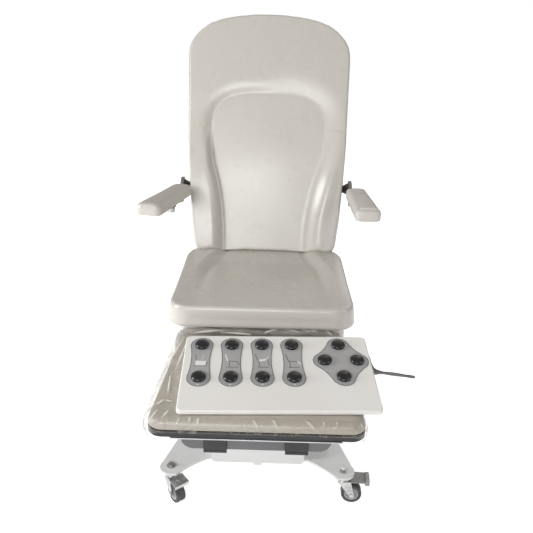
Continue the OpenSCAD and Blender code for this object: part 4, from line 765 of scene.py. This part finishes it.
def add_piece(name, shape, material, body, rounded=True):
    """A finished bmesh becomes a piece that rides on its body."""
    mesh = bpy.data.meshes.new(name)
    shape.to_mesh(mesh)
    shape.free()
    mesh.materials.append(material)
    if rounded:
        for face in mesh.polygons:
            face.use_smooth = True
        mesh.set_sharp_from_angle(angle=math.radians(38))
    piece = bpy.data.objects.new(name, mesh)
    bpy.context.collection.objects.link(piece)
    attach(piece, body)
    return piece


def raise_faces(shape, faces, offset):
    """Extrudes the faces by an offset vector."""
    made = bmesh.ops.extrude_face_region(shape, geom=faces)
    raised = [v for v in made["geom"] if isinstance(v, bmesh.types.BMVert)]
    bmesh.ops.translate(shape, verts=raised, vec=offset)
    bmesh.ops.recalc_face_normals(shape, faces=shape.faces)


def thick_piece(name, shape, material, thickness):
    """Faces in the control's top plane become a slab that grows by the thickness."""
    raise_faces(shape, list(shape.faces), (0, 0, thickness))
    bmesh.ops.transform(shape, matrix=CONTROL_TOP, verts=shape.verts)
    return add_piece(name, shape, material, "foot_control", rounded=False)


def flat_piece(name, outlines, material, base=PANEL_FACE):
    """Thin marks on the control's top, from closed outlines."""
    shape = bmesh.new()
    for outline in outlines:
        shape.faces.new([shape.verts.new((p[0], p[1], base)) for p in outline])
    bmesh.ops.recalc_face_normals(shape, faces=shape.faces)
    return thick_piece(name, shape, material, RIM_T)


def disc(centre, radius, count=20):
    """A circle's points."""
    angles = [2 * math.pi * i / count for i in range(count)]
    return [(centre[0] + radius * math.cos(a), centre[1] + radius * math.sin(a)) for a in angles]


def soft_outline(centres, radius, hollow, count=14):
    """Closed outline round equal circles, given anticlockwise, that flow into one another over
    arcs of the hollow radius."""
    outline = []
    bends = []
    for a, b in zip(centres, centres[1:] + centres[:1]):
        along_pair = b - a
        outward = Vector((along_pair.y, -along_pair.x)).normalized()
        far = math.sqrt((radius + hollow) ** 2 - along_pair.length_squared / 4)
        bends.append((a + b) / 2 + outward * far)
    for number, centre in enumerate(centres):
        start, end = bends[number - 1] - centre, bends[number] - centre
        first = math.atan2(start.y, start.x)
        turn = (math.atan2(end.y, end.x) - first) % (2 * math.pi)
        for i in range(count + 1):
            angle = first + turn * i / count
            outline.append(centre + radius * Vector((math.cos(angle), math.sin(angle))))
        bend = bends[number]
        start, end = centre - bend, centres[(number + 1) % len(centres)] - bend
        first = math.atan2(start.y, start.x)
        turn = (first - math.atan2(end.y, end.x)) % (2 * math.pi)
        for i in range(1, count):
            angle = first - turn * i / count
            outline.append(bend + hollow * Vector((math.cos(angle), math.sin(angle))))
    return outline


def add_loop(shape, points, height):
    """Closed edges through the points, and returns them."""
    corners = [shape.verts.new((p[0], p[1], height)) for p in points]
    return [shape.edges.new(pair) for pair in zip(corners, corners[1:] + corners[:1])]


# The key panels: each flows round its buttons, with a soft waist; a dark line runs
# just inside the edge, and every pad has a white dot at its end.
pair_hollow = (PAIR_HALF ** 2 + WAIST_HALF ** 2 - PAD_R ** 2) / (2 * (PAD_R - WAIST_HALF))
PANELS = [
    ([Vector((x, PAIR_MID - PAIR_HALF)), Vector((x, PAIR_MID + PAIR_HALF))], pair_hollow) for x in PAIR_X
]
PANELS.append(([CROSS_MID + arm for arm in CROSS_ARMS], CROSS_HOLLOW))
panels = bmesh.new()
rims = bmesh.new()
for centres, hollow in PANELS:
    edges = add_loop(panels, soft_outline(centres, PAD_R, hollow), PANEL_FACE)
    for centre in centres:
        edges += add_loop(panels, disc(centre, BUTTON_HOLE, 32), PANEL_FACE)
    bmesh.ops.triangle_fill(panels, edges=edges, use_beauty=True)
    edges = []
    for inset in (RIM_IN, RIM_IN + RIM_W):
        edges += add_loop(rims, soft_outline(centres, PAD_R - inset, hollow + inset), PANEL_FACE)
    bmesh.ops.triangle_fill(rims, edges=edges, use_beauty=True)


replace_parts(thick_piece("control_panels", panels, panel_plastic, -PANEL_T), "key_panels")
thick_piece("panel_rims", rims, rim_plastic, RIM_T)
DOT_OUT, DOT_R = 0.0245, 0.0021
dots = [
    disc((x, PAIR_MID + end * (PAIR_HALF + DOT_OUT)), DOT_R) for x in PAIR_X for end in (-1, 1)
]
flat_piece("panel_dots", dots, mark_white)


def stroke(x0, y0, x1, y1, width):
    """A straight mark between two points."""
    way = Vector((x1 - x0, y1 - y0)).normalized() * width / 2
    turn = Vector((-way.y, way.x))
    a, b = Vector((x0, y0)), Vector((x1, y1))
    return [a - turn, b - turn, b + turn, a + turn]


# Push buttons: glossy mushroom caps that stand clear of the panel by their travel
CAP_PROFILE = [
    (0.0, 0.0046), (0.0184, 0.0046), (0.0191, 0.0053), (0.0191, 0.0064), (0.018, 0.0084),
    (0.0152, 0.0106), (0.011, 0.0124), (0.006, 0.0134), (0.0, 0.0138),
]
STEM_R, STEM_TALL, STEM_MID = 0.0158, 0.009, 0.0005
BUTTON_PLACES = [Vector((x, PAIR_MID + end * PAIR_HALF)) for x in PAIR_X for end in (-1, 1)]
BUTTON_PLACES += [CROSS_MID + CROSS_ARMS[k] for k in (1, 2, 0, 3)]
for number, place in enumerate(BUTTON_PLACES, 1):
    cap = bmesh.new()
    corners = [cap.verts.new((r, 0, z)) for r, z in CAP_PROFILE]
    edges = [cap.edges.new(pair) for pair in zip(corners, corners[1:])]
    bmesh.ops.spin(
        cap, geom=corners + edges, axis=(0, 0, 1), cent=(0, 0, 0), angle=2 * math.pi, steps=40, use_merge=True
    )
    made = bmesh.ops.create_cone(
        cap, cap_ends=True, segments=32, radius1=STEM_R, radius2=STEM_R, depth=STEM_TALL
    )
    bmesh.ops.translate(cap, verts=made["verts"], vec=(0, 0, STEM_MID))
    bmesh.ops.remove_doubles(cap, verts=cap.verts, dist=1e-6)
    bmesh.ops.recalc_face_normals(cap, faces=cap.faces)
    bmesh.ops.transform(
        cap, matrix=CONTROL_TOP @ Matrix.Translation((place.x, place.y, 0)), verts=cap.verts
    )
    name = "button_%d" % number
    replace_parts(add_piece(name + "_cap", cap, button_plastic, name), name)


# Side view of a chair: base line, seat and legs in dark strokes, and the part that this
# panel moves in white. Our own plain pictures, no copied symbols.
ICON_X, ICON_Y = 0.00135, 0.0021
# Each picture: dark strokes, then white ones, as x, y, x, y and width
PICTURES = [
    (
        [(-11, 12, -8, 2, 1.3), (-12, -9, 12, -9, 1.4), (12, -9, 14, -2, 1.2)],
        [(-9, -4, 11, -4, 17), (3, 3, 6, 11, 1.4)],
    ),
    (
        [(-6, 0, 12, -1, 1.6), (12, -1, 15, -7, 1.4), (-4, -1, -3, -10, 1.3), (-9, -11, 14, -11, 1.5)],
        [(-12, 12, -7, 0, 4)],
    ),
    (
        [(-14, 13, -7, 0, 1.5), (-6, 0, -5, -10, 1.3), (11, 3, 14, -8, 1.4), (-9, -11, 13, -11, 1.5)],
        [(-6, 1, 8, 3, 7), (8, 4, 13, 8, 2.2)],
    ),
    (
        [(-14, 13, -8, 0, 1.5), (-8, 0, 9, -1, 1.6), (-6, -1, -6, -10, 1.3), (-9, -11, 12, -11, 1.5)],
        [(10, 0, 15, -6, 3.2)],
    ),
]
dark_marks, white_marks = [], []
for x, (dark, light) in zip(PAIR_X, PICTURES):
    for marks, group in ((dark_marks, dark), (white_marks, light)):
        for x0, y0, x1, y1, width in group:
            marks.append(stroke(
                x + x0 * ICON_X, PAIR_MID + y0 * ICON_Y,
                x + x1 * ICON_X, PAIR_MID + y1 * ICON_Y, width / 1000,
            ))
flat_piece("panel_pictures", dark_marks, mark_dark)
flat_piece("panel_picture_lights", white_marks, mark_white, base=PANEL_FACE + 0.0001)


# Under the leg rest: the steel plate's turned-down edge, the tray's deep rounded front
# in grey vacuum-formed plastic, and its two black catches.
tray_plastic = toned(
    "tray_plastic", linear(108, 109, 111), linear(98, 99, 101), rough=(0.35, 0.5), texture=700
)
dress(tray_plastic, "tray")


def slab(outline, y0, y1, bevel):
    """A slab from an outline in X and Z, between two Y places, with softened edges."""
    shape = bmesh.new()
    face = shape.faces.new([shape.verts.new((x, y0, z)) for x, z in outline])
    raise_faces(shape, [face], (0, y1 - y0, 0))
    rim = [e for e in shape.edges if abs(e.verts[0].co.y - e.verts[1].co.y) < 1e-6]
    bmesh.ops.bevel(
        shape, geom=rim, offset=bevel, segments=2, profile=0.5, affect="EDGES", material=-1
    )
    return shape


def corner(x, z, radius, first, count=8):
    """A quarter of a round corner, from the first angle in degrees."""
    angles = [math.radians(first + 90 * i / count) for i in range(count + 1)]
    return [(x + radius * math.cos(a), z + radius * math.sin(a)) for a in angles]


def box(x0, x1, z0, z1):
    """A rectangle's corners."""
    return [(x0, z0), (x1, z0), (x1, z1), (x0, z1)]


EDGE_HALF, EDGE_LOW, EDGE_HIGH = 0.205, -0.0498, -0.0464
edge = slab(box(-EDGE_HALF, EDGE_HALF, EDGE_LOW, EDGE_HIGH), -0.0008, 0.014, 0.0006)
bmesh.ops.transform(edge, matrix=LEG_REST, verts=edge.verts)
add_piece("plate_edge", edge, steel, "leg_rest")
TRAY_LEFT, TRAY_RIGHT, TRAY_LOW, TRAY_HIGH, TRAY_CORNER = -0.166, 0.196, 0.3618, 0.398, 0.03
front = corner(TRAY_LEFT + TRAY_CORNER, TRAY_LOW + TRAY_CORNER, TRAY_CORNER, 180)
front += corner(TRAY_RIGHT - TRAY_CORNER, TRAY_LOW + TRAY_CORNER, TRAY_CORNER, 270)
front += [(TRAY_RIGHT, TRAY_HIGH), (TRAY_LEFT, TRAY_HIGH)]
add_piece("tray_front", slab(front, -0.5665, -0.5605, 0.0012), tray_plastic, "tray")
CATCH_X, CATCH_HALF = (-0.083, 0.113), 0.028
for number, x in enumerate(CATCH_X, 1):
    left, right = x - CATCH_HALF, x + CATCH_HALF
    catch = slab(box(left, right, 0.364, 0.3955), -0.5745, -0.567, 0.0012)
    lip = slab(box(left, right, 0.3575, 0.3655), -0.5755, -0.5625, 0.002)
    catch_piece = add_piece("tray_catch_%d" % number, catch, black_plastic, "tray")
    add_piece("tray_catch_lip_%d" % number, lip, black_plastic, "tray")
    if number == 1:
        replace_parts(catch_piece, "tray_clips")


# Castor wheels: dark grey rubber tyre on a light grey ribbed hub
tyre_rubber = toned(
    "tyre_rubber", linear(84, 85, 87), linear(68, 69, 71), scale=40, rough=(0.5, 0.7), texture=800, bump=0.3
)
hub_plastic = toned(
    "hub_plastic", linear(186, 187, 189), linear(168, 169, 171), scale=30, rough=(0.35, 0.5), texture=700
)
WHEEL_R, TRAIL = 0.031, 0.028
TYRE_PROFILE = [
    (0.021, 0.0122), (0.0235, 0.0144), (0.027, 0.015), (0.0297, 0.0138), (0.0308, 0.0105), (0.031, 0.006),
    (0.0306, 0.0024), (0.0294, 0.0014), (0.0292, 0.0),
]
HUB_PROFILE = [
    (0.0045, 0.0136), (0.0085, 0.0136), (0.0092, 0.009), (0.0155, 0.0082), (0.0172, 0.0126), (0.0208, 0.0132),
    (0.0208, 0.0),
]
SPIN_STEPS, RIBS, RIB_MID, RIB_SIZE = 56, 8, 0.0128, (0.0105, 0.0225, 0.0018, 1)


def lathe(profile):
    """A ring about +Y from half a profile of (radius, side) points, mirrored over its middle."""
    shape = bmesh.new()
    whole = profile + [(r, -y) for r, y in reversed(profile) if y > 0]
    points = [shape.verts.new((r, y, 0)) for r, y in whole]
    edges = [shape.edges.new((a, b)) for a, b in zip(points, points[1:] + points[:1])]
    bmesh.ops.spin(
        shape, geom=points + edges, axis=(0, 1, 0), cent=(0, 0, 0), angle=2 * math.pi,
        steps=SPIN_STEPS, use_merge=True,
    )
    bmesh.ops.remove_doubles(shape, verts=shape.verts, dist=1e-6)
    bmesh.ops.recalc_face_normals(shape, faces=shape.faces)
    return shape


CASTORS = {
    # name: the stem's place and the fork's turn in degrees
    "front_left": (-0.241, -0.333, -52), "front_right": (0.271, -0.333, -3),
    "rear_left": (-0.241, 0.267, 62), "rear_right": (0.271, 0.267, 118),
}
for name, (x, y, turn) in CASTORS.items():
    stem = Matrix.Translation((x, y, 0)) @ Matrix.Rotation(math.radians(turn), 4, "Z")
    wheel = stem @ Matrix.Translation((TRAIL, 0, WHEEL_R))
    tyre = lathe(TYRE_PROFILE)
    bmesh.ops.transform(tyre, matrix=wheel, verts=tyre.verts)
    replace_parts(add_piece(name + "_tyre", tyre, tyre_rubber, name + "_wheel"), name + "_wheel")
    hub = lathe(HUB_PROFILE)
    for rib in range(RIBS):
        made = bmesh.ops.create_cube(hub, size=1)
        place = (
            Matrix.Rotation(2 * math.pi * rib / RIBS, 4, "Y") @ Matrix.Translation((RIB_MID, 0, 0))
            @ Matrix.Diagonal(RIB_SIZE)
        )
        bmesh.ops.transform(hub, matrix=place, verts=made["verts"])
    bmesh.ops.transform(hub, matrix=wheel, verts=hub.verts)
    add_piece(name + "_hub", hub, hub_plastic, name + "_wheel")
treadle_paint = toned(
    "treadle_paint", linear(168, 168, 166), linear(150, 150, 149), rough=(0.4, 0.55), texture=500
)
dress(treadle_paint, "front_right_brake")
